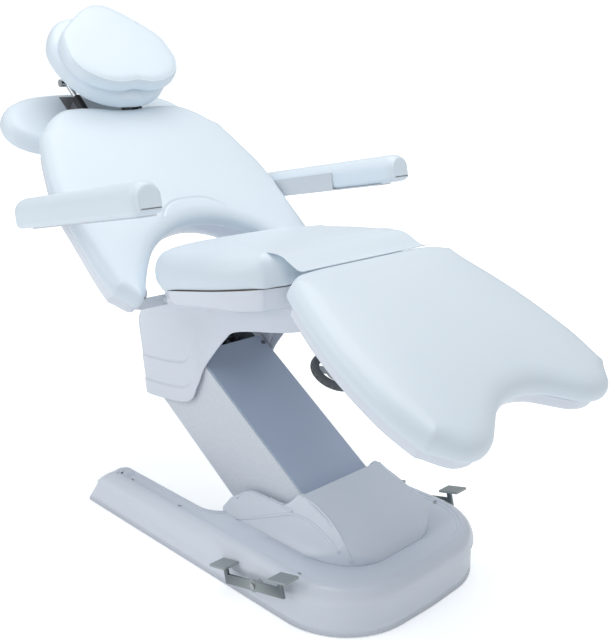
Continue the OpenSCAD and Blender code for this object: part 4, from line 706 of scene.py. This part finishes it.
pad_seat()
pad_back()
pad_leg()
pad_head_end()
bolster("soft_armrest_left_pad", 1, "armrest_left")
bolster("soft_armrest_right_pad", -1, "armrest_right")


FLAP_HALF, FLAP_T, FLAP_LIFT, FLAP_HELD = 0.215, 0.002, 0.0065, 0.01
FLAP_ONTO_X, FLAP_ONTO_Z = 0.047, 0.064  # where the flap ends on the leg cushion, from the hinge
# fall of the flap: shares of the way to the leg rest, along and down
FLAP_FALL = [(-0.03, 0.16), (0.0, 0.09), (0.05, 0.06), (0.2, 0.09), (0.33, 0.14), (0.45, 0.24), (0.56, 0.42),
             (0.66, 0.64), (0.76, 0.85), (0.84, 0.97), (0.92, 1.0), (1, 0.98)]


def lay_flap():
    """Loose flap of leatherette from the seat's front edge to the leg rest's rear edge."""
    start = np.array((SEAT_L + SEAT_REAR_X - SEAT_EDGE, SEAT_LOW + SEAT_T * (1 - SEAT_THINS) + FLAP_LIFT))
    end = np.array((LEG_HINGE_X + FLAP_ONTO_X, LEG_HINGE_Z + FLAP_ONTO_Z))
    run = curved([start + np.array(s) * (end - start) for s in FLAP_FALL], 0.004)
    ys = np.linspace(-FLAP_HALF, FLAP_HALF, 87)
    top = np.array([(x, y, z) for x, z in run for y in ys])
    rows, count, size = len(run), len(ys), len(top)
    low = top - np.array((0, 0, FLAP_T))
    faces = band_faces(rows, count, closed=False)
    under = [tuple(i + size for i in f[::-1]) for f in faces]
    net = np.arange(size).reshape(rows, count)
    rim = [int(i) for i in np.concatenate([net[0], net[1:, -1], net[-1, -2::-1], net[-2:0:-1, 0]])]
    hem = [(b, a, a + size, b + size) for a, b in zip(rim, rim[1:] + rim[:1])]
    made = piece("soft_bridge_flap", np.concatenate([top, low]), faces + under + hem, SEAT, sharp=50,
                 slot="upholstery", looks=UPHOLSTERY, stands_for=("bridge_flap",))
    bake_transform(made)


lay_flap()


# moulded covers

def cup(name, loop, steps, wall, place, shape=None, **put):
    """Moulded tray: (height, distance drawn in) steps from the floor up of the plan loop(d).

    shape(points) may move the finished points.
    """
    def ring(z, d):
        q = loop(d)
        return np.column_stack([q, np.full(len(q), z)])
    n = len(loop(0))
    rings = [ring(z, d) for z, d in steps]
    rings += [ring(z + (wall if k == len(steps) - 1 else 0), d + wall) for k, (z, d) in enumerate(steps[::-1])]
    points = np.concatenate(rings)
    if shape:
        points = shape(points)
    faces = band_faces(len(rings), n)
    low = plan_triangles(rings[0], n)
    top = plan_triangles(rings[-1], n)
    shift = (len(rings) - 1) * n
    faces += [t[::-1] for t in low] + [tuple(shift + i for i in t) for t in top]
    return piece(name, points, faces, place, **put)


def prism(outline, axis, low, high):
    """Helper solid of a plane outline: axis x, y or z, from low to high."""
    q = np.array(outline, float)

    def ring(at):
        at = np.full(len(q), at)
        cols = {"x": (at, q[:, 0], q[:, 1]), "y": (q[:, 0], at, q[:, 1]), "z": (q[:, 0], q[:, 1], at)}[axis]
        return np.column_stack(cols)
    points, faces = lids([ring(low), ring(high)])
    return piece("helper", points, faces, sharp=1)


def joined(obj, other, way):
    """Cuts, adds or keeps the overlap of a helper solid, and removes the helper."""
    change = obj.modifiers.new("form", "BOOLEAN")
    change.operation, change.solver, change.object = way, "EXACT", other
    settle(obj)
    bpy.data.objects.remove(other)


def settle(obj):
    """Applies the modifiers to the mesh itself."""
    graph = bpy.context.evaluated_depsgraph_get()
    graph.update()
    made = bpy.data.meshes.new_from_object(obj.evaluated_get(graph))
    old = obj.data
    obj.modifiers.clear()
    obj.data = made
    made.name = obj.name
    bpy.data.meshes.remove(old)


def softened(obj, voxel, passes):
    """Melts a helper form into one moulded skin with soft edges."""
    melt = obj.modifiers.new("melt", "REMESH")
    melt.mode, melt.voxel_size = "VOXEL", voxel
    settle(obj)
    ease_in = obj.modifiers.new("ease", "SMOOTH")
    ease_in.factor, ease_in.iterations = 0.5, passes
    settle(obj)
    obj.data.shade_smooth()
    obj.data.set_sharp_from_angle(angle=radians(40))


def walled(obj, wall):
    """Gives an open skin its wall, inward."""
    thick = obj.modifiers.new("wall", "SOLIDIFY")
    thick.thickness, thick.offset = wall, -1
    settle(obj)


BASE_REAR, BASE_TOE, HALF_W, LEG_IN, YOKE_X = -0.546, 0.552, 0.295, 0.215, 0.01
CORNER_R, TOE_R, TOE_BOW_R, TOE_BACK, YOKE_R, SQUARE_R = 0.03, 0.195, 0.9, 0.012, 0.08, 1e-5
DECK, CREST, WALL_H, CHANNEL = 0.119, 0.1235, 0.075, 0.1158
SLOT_HALF, SLOT_FRONT = 0.13, 0.23
COVER_WALL, TIGHT = 0.004, 0.36  # wall, and share of the rings' steps kept on the legs' inner sides
# height of the crease along the base
CREASE = np.array([(-0.546, 0.078), (-0.43, 0.083), (-0.32, 0.07), (-0.17, 0.058), (0.0, 0.056), (0.16, 0.062),
                   (0.3, 0.07), (0.42, 0.078), (0.552, 0.084)])
BULGE, SHOULDER_W, CREST_RUN = -0.0042, 0.0302, 0.029
CHANNEL_END, CHANNEL_RAMP = -0.46, 0.05
LEAN_WALL, LEAN_SHOULDER, LEAN_X, LEAN_RUN = 0.060, 0.053, -0.3, 0.24
# rings of the base cover from the floor up: what the height counts from, height or angle, distance drawn in
BASE_RINGS = [("floor", 0.003, 0.0), ("floor", 0.03, 0.0004), ("crease", -0.0062, 0.0012),
              ("crease", -0.0024, 0.0006), ("crease", 0.0, BULGE)]
BASE_RINGS += [("shoulder", a, BULGE + SHOULDER_W * (1 - cos(radians(a)))) for a in range(10, 91, 10)]
BASE_RINGS += [("floor", CREST, 0.0285), ("floor", 0.123, 0.0303), ("floor", 0.12, 0.0322),
               ("floor", 0.1193, 0.0345), ("floor", DECK, 0.0385), ("floor", 0.1164, 0.0405),
               ("floor", CHANNEL, 0.043)]


def base_plan():
    """Outline of the base in short steps: a rounded toe and two legs that a yoke joins."""
    toe_x = BASE_TOE - TOE_BACK
    corners = [(BASE_REAR, -HALF_W, CORNER_R), (toe_x, -HALF_W, TOE_R), (BASE_TOE, 0, TOE_BOW_R),
               (toe_x, HALF_W, TOE_R), (BASE_REAR, HALF_W, CORNER_R), (BASE_REAR, LEG_IN, CORNER_R),
               (YOKE_X, LEG_IN, YOKE_R), (YOKE_X, SLOT_HALF, SQUARE_R), (YOKE_X, -SLOT_HALF, SQUARE_R),
               (YOKE_X, -LEG_IN, YOKE_R), (BASE_REAR, -LEG_IN, CORNER_R)]
    raw = rounded(corners, 16)
    keep = [raw[0]]
    for q in raw[1:]:
        if np.linalg.norm(q - keep[-1]) > 2e-4:
            keep.append(q)
    loop = []
    for a, b in zip(keep, keep[1:] + keep[:1]):
        k = max(int(np.linalg.norm(b - a) / 0.02), 1)
        loop += [a + (b - a) * i / k for i in range(k)]
    return np.array(loop)


def base_ring(loop, kind, z, d):
    """One ring of the base cover; its rear end leans forward, and its channel ends in a ramp."""
    inner = (np.abs(loop[:, 1]) < 0.5 * (HALF_W + LEG_IN)) & (loop[:, 0] < 0.2)
    crease = np.interp(loop[:, 0], CREASE[:, 0], CREASE[:, 1])
    q = inset(loop, 1.0) - loop
    q = loop + q * (d * np.where(inner, TIGHT, 1.0))[:, None]
    if kind == "shoulder":
        h = crease + 0.0005 + (CREST - 0.0012 - crease) * sin(radians(z)) ** 0.9
    elif kind == "crease":
        h = crease + z
    else:
        h = np.full(len(loop), z)
    if d > CREST_RUN:
        h = CREST + (h - CREST) * smooth_step((q[:, 0] - CHANNEL_END) / CHANNEL_RAMP)
    lean = np.where(h < WALL_H, LEAN_WALL * h / WALL_H,
                    LEAN_WALL + LEAN_SHOULDER * (h - WALL_H) / (DECK - WALL_H))
    pull = smooth_step((LEAN_X - loop[:, 0]) / LEAN_RUN)
    return np.column_stack([q[:, 0] + lean * pull, q[:, 1], h])


def mould_base():
    """Base cover: a wall, a rolled shoulder over a flowing crease, a crest and a sunk channel."""
    loop = base_plan()
    n = len(loop)
    rings = [base_ring(loop, *spec) for spec in BASE_RINGS]
    yoke = np.abs(loop[:, 0] - YOKE_X) < 1e-4
    first = next(i for i in range(n) if yoke[i] and abs(loop[i, 1] - SLOT_HALF) < 1e-3)
    last = next(i for i in range(n) if yoke[i] and abs(loop[i, 1] + SLOT_HALF) < 1e-3)
    faces = [f for f in band_faces(len(rings), n) if not first <= f[0] % n < last]
    base = (len(rings) - 1) * n
    rim = [i for i in range(n) if not first < i < last]
    start = rim.index(first)
    rim = rim[start + 1:] + rim[:start + 1]
    slot = [(SLOT_FRONT, SLOT_HALF, CHANNEL), (SLOT_FRONT, -SLOT_HALF, CHANNEL)]
    points = np.concatenate(rings + [slot])
    index = [base + i for i in rim] + [len(points) - 2, len(points) - 1]
    faces += [tuple(index[i] for i in t) for t in plan_triangles(points[index], len(index))]
    made = piece("moulded_base_cover", points, faces, sharp=34, slot="cover_white", body="base",
                 stands_for=("base_cover",), looks=COVER)
    walled(made, COVER_WALL)
    return made


# outlines of the hood in shares of its length, half width and height: side, front and plan
HOOD_SIDE = [(1, 0), (0.982, 0.13), (0.943, 0.3), (0.87, 0.55), (0.713, 0.81), (0.566, 1), (0.536, 0.96),
             (0.5, 0.8), (0.44, 0.61), (0.39, 0.565), (0.28, 0.55), (0.157, 0.51), (0.094, 0.4), (0.04, 0.26)]
HOOD_FRONT = [(1, -0.1), (1, 0), (0.93, 0.15), (0.84, 0.42), (0.79, 0.7), (0.76, 1.1)]
HOOD_PLAN = [(-0.02, 0.82), (0.08, 1.02), (0.6, 1.02), (0.84, 0.9), (0.955, 0.68), (1.01, 0.35)]
HOOD_X, HOOD_L, HOOD_H, HOOD_W, HOOD_FOOT = -0.025, 0.477, 0.12, 0.38, 0.113
COLUMN_SWEEP, COLUMN_HALF = 0.2058, 0.13  # room for the turning column: radius and half width
HOOD_VOXEL, HOOD_SMOOTHING = 0.0035, 5


def mould_hood():
    """Hood round the column's foot: a sloping front and two side pods."""
    top = curved([(HOOD_X + a * HOOD_L, DECK + b * HOOD_H) for a, b in HOOD_SIDE])
    side = np.concatenate([[(HOOD_X, HOOD_FOOT), (HOOD_X + HOOD_L, HOOD_FOOT)], top])
    flank = curved([(a * HOOD_W / 2, DECK + b * HOOD_H) for a, b in HOOD_FRONT])
    front = np.concatenate([[(HOOD_W / 2, HOOD_FOOT)], flank])
    front = np.concatenate([front * (-1, 1), front[::-1]])
    plan = curved([(HOOD_X + a * HOOD_L, b * HOOD_W / 2) for a, b in HOOD_PLAN], 0.01)
    plan = np.concatenate([plan * (1, -1), plan[::-1]])
    hood = prism(side, "y", -0.22, 0.22)
    joined(hood, prism(front, "x", -0.06, 0.5), "INTERSECT")
    joined(hood, prism(plan, "z", 0.08, 0.3), "INTERSECT")
    sweep = [(LIFT_X + COLUMN_SWEEP * cos(a), LIFT_Z + COLUMN_SWEEP * sin(a))
             for a in np.linspace(0, 2 * pi, 97)[:-1]]
    behind = [(-0.5, 0.0), (LIFT_X, 0.0), (LIFT_X, 0.4), (-0.5, 0.4)]
    for cut in (sweep, behind):
        joined(hood, prism(cut, "y", -COLUMN_HALF, COLUMN_HALF), "DIFFERENCE")
    softened(hood, HOOD_VOXEL, HOOD_SMOOTHING)
    hood.name = hood.data.name = "moulded_column_cowl"
    hood.data.materials.clear()
    hood.data.materials.append(COVER)
    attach(hood, "base")
    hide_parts("column_cowl")
    return hood


# ridges of the hood as they stand in the photograph, in its pixels
RIDGES_PX = {
    "cowl_upper_ridge": [(237, 498), (241.3, 494), (248.3, 492.6), (263, 497.9), (276.5, 503.9), (292.8, 511)],
    "cowl_lower_ridge": [(236, 518), (246.7, 518.5), (268.4, 516.3), (284.6, 514.2), (295.5, 514.7),
                         (310, 521.2), (322.9, 532.9), (339.5, 553)],
    "cowl_panel_ridge": [(303, 497), (314, 504), (326, 516), (337, 531), (346, 547.8), (352, 562)],
}
RIDGE_R = 0.0036


def skin_of(obj):
    """Search tree of a piece's faces in the shared frame."""
    return BVHTree.FromPolygons([obj.matrix_world @ v.co for v in obj.data.vertices],
                                [tuple(p.vertices) for p in obj.data.polygons])


def bead_hood(hood):
    """Rounded ridges pressed into the hood, on both sides of it."""
    skin = skin_of(hood)
    eye = bpy.context.scene.camera.matrix_world
    for name, line in RIDGES_PX.items():
        spots = []
        for x, y in curved(line, 3.0):
            way = eye.to_3x3() @ Vector(((x - PHOTO_W / 2) / FOCAL_PX, -(y - PHOTO_H / 2) / FOCAL_PX, -1.0))
            at, *_ = skin.ray_cast(eye.translation, way.normalized())
            if at is not None and (not spots or (at - Vector(spots[-1])).length < 0.03):
                spots.append(tuple(at))
        spots = curved(spots)
        for _ in range(4):
            spots[1:-1] = (spots[:-2] + 2 * spots[1:-1] + spots[2:]) / 4
        for end, side in (("_near", 1), ("_far", -1)):
            tube(name + end, spots * (1, side, 1), RIDGE_R, FLOOR, sides=10, slot="cover_white", body="base",
                 looks=COVER)


# lower edge of the skirt from rear to front, in shares of its front length and drop
SKIRT_EDGE = np.array([(-1.54, -0.968), (-0.774, -1), (-0.545, -0.823), (-0.43, -0.645), (-0.3, -0.518),
                       (-0.066, -0.333), (0.14, -0.24), (0.785, -0.215), (1, -0.195)])
SKIRT_REAR, SKIRT_FRONT, SKIRT_HALF, SKIRT_DROP = 0.442, 0.288, 0.132, 0.282
FLARE_REAR, FLARE_FRONT, FLARE_HALF, FRAME_TOP = 0.215, 0.318, 0.225, 0.034
NECK_REAR, NECK_FRONT, SKIRT_IN = -0.075, -0.05, 0.0045
# borders along the skirt's lower edge: height above it, run of the step, height of the step
BORDER_H, BORDER_RUN, BORDER_STEP = 0.046, 0.006, 0.0038
PANEL_H, PANEL_RUN, PANEL_STEP = 0.118, 0.007, 0.0036


def skirt_square(n_side=120, n_end=44):
    """Points round a unit square, from which the skirt's rings are made."""
    a = 2 * np.arange(n_side) / n_side - 1
    b = 2 * np.arange(n_end) / n_end - 1
    return np.concatenate([np.column_stack([a, -np.ones(n_side)]), np.column_stack([np.ones(n_end), b]),
                           np.column_stack([-a, np.ones(n_side)]), np.column_stack([-np.ones(n_end), -b])])


def skirt_ring(walk, edge_line, t):
    """One ring of the skirt: the flare for t up to 1, then the box down to its edge at 2."""
    blend = 1 - (1 - min(t, 1)) ** 2.2
    back = -FLARE_REAR + blend * (FLARE_REAR - SKIRT_REAR)
    front = FLARE_FRONT + blend * (SKIRT_FRONT - FLARE_FRONT)
    half = FLARE_HALF + blend * (SKIRT_HALF - FLARE_HALF)
    middle = (front + back) / 2
    power = 2.6 + 10 * blend
    f = (np.abs(walk[:, 0]) ** power + np.abs(walk[:, 1]) ** power) ** (-1 / power)
    x = middle + (front - back) / 2 * walk[:, 0] * f
    y = half * walk[:, 1] * f
    neck = NECK_REAR + (x + SKIRT_REAR) * (NECK_FRONT - NECK_REAR) / (SKIRT_REAR + SKIRT_FRONT)
    edge = np.interp(x, edge_line[:, 0], edge_line[:, 1])
    tall = neck - edge
    if t < 1:
        z = FRAME_TOP + t * (neck - FRAME_TOP)
        above = tall + (FRAME_TOP - neck) * (1 - t)
    else:
        z = neck + (t - 1) * (edge - neck)
        above = (2 - t) * tall
    full = smooth_step((tall - 0.06) / 0.09)
    proud = BORDER_STEP * full * smooth_step((BORDER_H - above) / BORDER_RUN)
    swell = PANEL_STEP * full * smooth_step((PANEL_H - above) / PANEL_RUN) * smooth_step((tall - 0.12) / 0.05)
    away = np.column_stack([np.sign(x - middle), np.sign(y)]) * (np.abs(walk) > 0.999)
    away /= np.maximum(np.linalg.norm(away, axis=1, keepdims=True), 1e-9)
    plan = np.column_stack([x, y]) + away * (proud + swell - SKIRT_IN)[:, None]
    return np.column_stack([plan, z])


def mould_skirt():
    """Skirt under the seat: a flare that narrows to a box with stepped borders along its edge."""
    walk = skirt_square()
    edge_line = curved(SKIRT_EDGE * (SKIRT_FRONT, SKIRT_DROP), 0.004)
    steps = np.concatenate([np.linspace(0, 1, 34)[:-1], np.linspace(1, 2, 72)])
    points = np.concatenate([skirt_ring(walk, edge_line, t) for t in steps])
    made = piece("moulded_seat_skirt", points, band_faces(len(steps), len(walk)), SEAT, sharp=50,
                 slot="cover_white", body="seat", stands_for=("seat_skirt",), looks=COVER)
    walled(made, COVER_WALL)


# sections from the floor up: height, distance drawn in from the cushion's outline or its own
TRAY_SECTION = [(0.024, 0.034), (0.0242, 0.024), (0.0262, 0.0155), (0.031, 0.0088), (0.039, 0.0045),
                (0.05, 0.0018), (0.0665, 0.0)]
SHELL_SECTION = [(-0.033, 0.066), (-0.0324, 0.054), (-0.029, 0.043), (-0.022, 0.033), (-0.009, 0.0245),
                 (0.011, 0.0185), (0.04, 0.016)]
BOARD_SECTION = [(-0.003, 0.03), (-0.0015, 0.0225), (0.003, 0.0175), (0.011, 0.0145), (0.02, 0.0135),
                 (0.0296, 0.0135)]
TRAY_IN, TRAY_WALL, SHELL_WALL, BOARD_WALL, BOARD_REAR = 0.012, 0.004, 0.005, 0.005, 0.018
SCOOP, SCOOP_X, SCOOP_RUN = 0.012, 0.25, 0.1


def scooped(p):
    """Lowers the floor of the seat's tray near its front."""
    low = 1 - smooth_step((p[:, 2] - 0.028) / 0.034)
    p[:, 2] -= SCOOP * low * np.exp(-((p[:, 0] - SCOOP_X) / SCOOP_RUN) ** 2)
    return p


def mould_trays():
    """Tray under the seat, shell behind the backrest and board under the leg rest."""
    put = {"slot": "cover_white", "looks": COVER, "sharp": 50}
    cup("moulded_seat_tray", lambda d: seat_loop(TRAY_IN + d), curved(TRAY_SECTION, 0.004), TRAY_WALL, SEAT,
        scooped, body="seat", stands_for=("seat_tray",), **put)
    cup("moulded_back_shell", back_loop, curved(SHELL_SECTION, 0.004), SHELL_WALL, BACK, body="backrest",
        stands_for=("back_shell",), **put)
    cup("moulded_leg_board", lambda d: leg_loop(d, BOARD_REAR), curved(BOARD_SECTION, 0.004), BOARD_WALL, LEG,
        body="leg_rest", stands_for=("leg_board",), **put)


# section of a screw's head: radius, height
SCREW_HEAD = [(0.0052, -0.001), (0.0052, 0.0003), (0.0047, 0.0009), (0.0036, 0.0013), (0.002, 0.0015)]
CROSS_R, CROSS_DEPTH, SCREW_SIDES = 0.004, 0.0007, 24


def middles(obj):
    """Middle of each separate part of a node's mesh."""
    mesh = bmesh.new()
    mesh.from_mesh(obj.data)
    mesh.transform(obj.matrix_world)
    seen, spots = set(), []
    for first in mesh.verts:
        if first in seen:
            continue
        found, edge = set(), {first}
        while edge:
            found |= edge
            edge = {e.other_vert(v) for v in edge for e in v.link_edges} - found
        seen |= found
        spots.append(sum((v.co for v in sorted(found, key=lambda v: v.index)), Vector()) / len(found))
    mesh.free()
    return spots


def flush_screws(cover):
    """Small domed heads with a cross slot, seated on the base cover where its screws are."""
    skin = skin_of(cover)
    turns = np.arange(SCREW_SIDES) * 2 * pi / SCREW_SIDES
    points, faces = [], []
    for spot in middles(frame["nodes"]["cover_screws"]):
        at, normal, _, _ = skin.find_nearest(spot)
        if normal.dot(at - Vector((0.0, at.y * 0.9, 0.06))) < 0 and abs(normal.z) < 0.5:
            normal = -normal
        turn = normal.to_track_quat("Z", "Y").to_matrix()
        rings = []
        for r, h in SCREW_HEAD:
            cross = [min(abs(cos(a)), abs(sin(a))) < 0.2 and r < CROSS_R for a in turns]
            rings.append([tuple(at + turn @ Vector((r * cos(a), r * sin(a), h - CROSS_DEPTH * dip)))
                          for a, dip in zip(turns, cross)])
        head, sides = lids(rings)
        faces += [tuple(len(points) + i for i in f) for f in sides]
        points += [tuple(p) for p in head]
    piece("flush_cover_screws", points, faces, sharp=40, slot="pin_steel", body="base",
          stands_for=("cover_screws",), looks=STEEL)


flush_screws(mould_base())
bead_hood(mould_hood())
mould_skirt()
mould_trays()


# stage

FLOOR_HALF = 30
GLOW_NEAR, GLOW_FAR, GLOW_START, GLOW_END, GLOW_OFF_CAMERA = 0.5, 1.1, 0.7, 3.2, 0.3
SKY, SKY_LIGHT, SKY_SEEN = (0.93, 0.965, 1.0, 1), 0.43, 1.1


def lay_floor():
    """Pale floor that fades into the white ground of the photograph."""
    mesh = bpy.data.meshes.new("studio_floor")
    corners = [(-FLOOR_HALF, -FLOOR_HALF, 0), (FLOOR_HALF, -FLOOR_HALF, 0), (FLOOR_HALF, FLOOR_HALF, 0),
               (-FLOOR_HALF, FLOOR_HALF, 0)]
    mesh.from_pydata(corners, [], [(0, 1, 2, 3)])
    floor = bpy.data.objects.new("studio_floor", mesh)
    bpy.context.scene.collection.objects.link(floor)
    made, tree, shader = finish("pale studio floor", Roughness=0.9, Specular_IOR_Level=0.1,
                                Emission_Color=(0.97, 0.985, 1, 1))
    away = node(tree, "ShaderNodeVectorMath", {0: node(tree, "ShaderNodeTexCoord").outputs["Object"]},
                operation="LENGTH").outputs["Value"]
    glow = node(tree, "ShaderNodeMapRange", {"Value": away, "From Min": GLOW_START, "From Max": GLOW_END,
                                             "To Min": GLOW_NEAR, "To Max": GLOW_FAR},
                interpolation_type="SMOOTHSTEP").outputs[0]
    seen = spread(tree, node(tree, "ShaderNodeLightPath").outputs["Is Camera Ray"], GLOW_OFF_CAMERA, 1.0)
    tree.links.new(math(tree, "MULTIPLY", glow, seen), shader.inputs["Emission Strength"])
    cloud = node(tree, "ShaderNodeTexNoise", {"Scale": 0.4, "Detail": 2.0}).outputs["Fac"]
    tree.links.new(tint(tree, cloud, (0.93, 0.94, 0.95), (0.96, 0.965, 0.97)), shader.inputs["Base Color"])
    mesh.materials.append(made)


def light_room():
    """White surroundings, brighter to the camera than to the bed."""
    world = bpy.data.worlds.new("studio")
    bpy.context.scene.world = world
    world.use_nodes = True
    tree = world.node_tree
    back = tree.nodes["Background"]
    back.inputs["Color"].default_value = SKY
    seen = node(tree, "ShaderNodeLightPath").outputs["Is Camera Ray"]
    tree.links.new(spread(tree, seen, SKY_LIGHT, SKY_SEEN), back.inputs["Strength"])
    bpy.context.scene.view_settings.view_transform = "Standard"


def lamp(name, place, aim, size, power, colour):
    """Square softbox at a place, turned toward a point."""
    data = bpy.data.lights.new(name, "AREA")
    data.shape = "RECTANGLE"
    data.size = data.size_y = size
    data.energy = power
    data.color = colour
    made = bpy.data.objects.new(name, data)
    bpy.context.scene.collection.objects.link(made)
    toward = Vector(aim) - Vector(place)
    made.matrix_world = Matrix.Translation(place) @ toward.to_track_quat("-Z", "Y").to_matrix().to_4x4()


lay_floor()
light_room()
lamp("softbox_above", (0.2, 0.2, 3.6), (0, 0, 0.6), 3.0, 54, (1, 1, 1))
lamp("softbox_left", (-1.2, -3.0, 2.6), (0, 0, 0.7), 2.4, 26, (0.97, 0.985, 1))
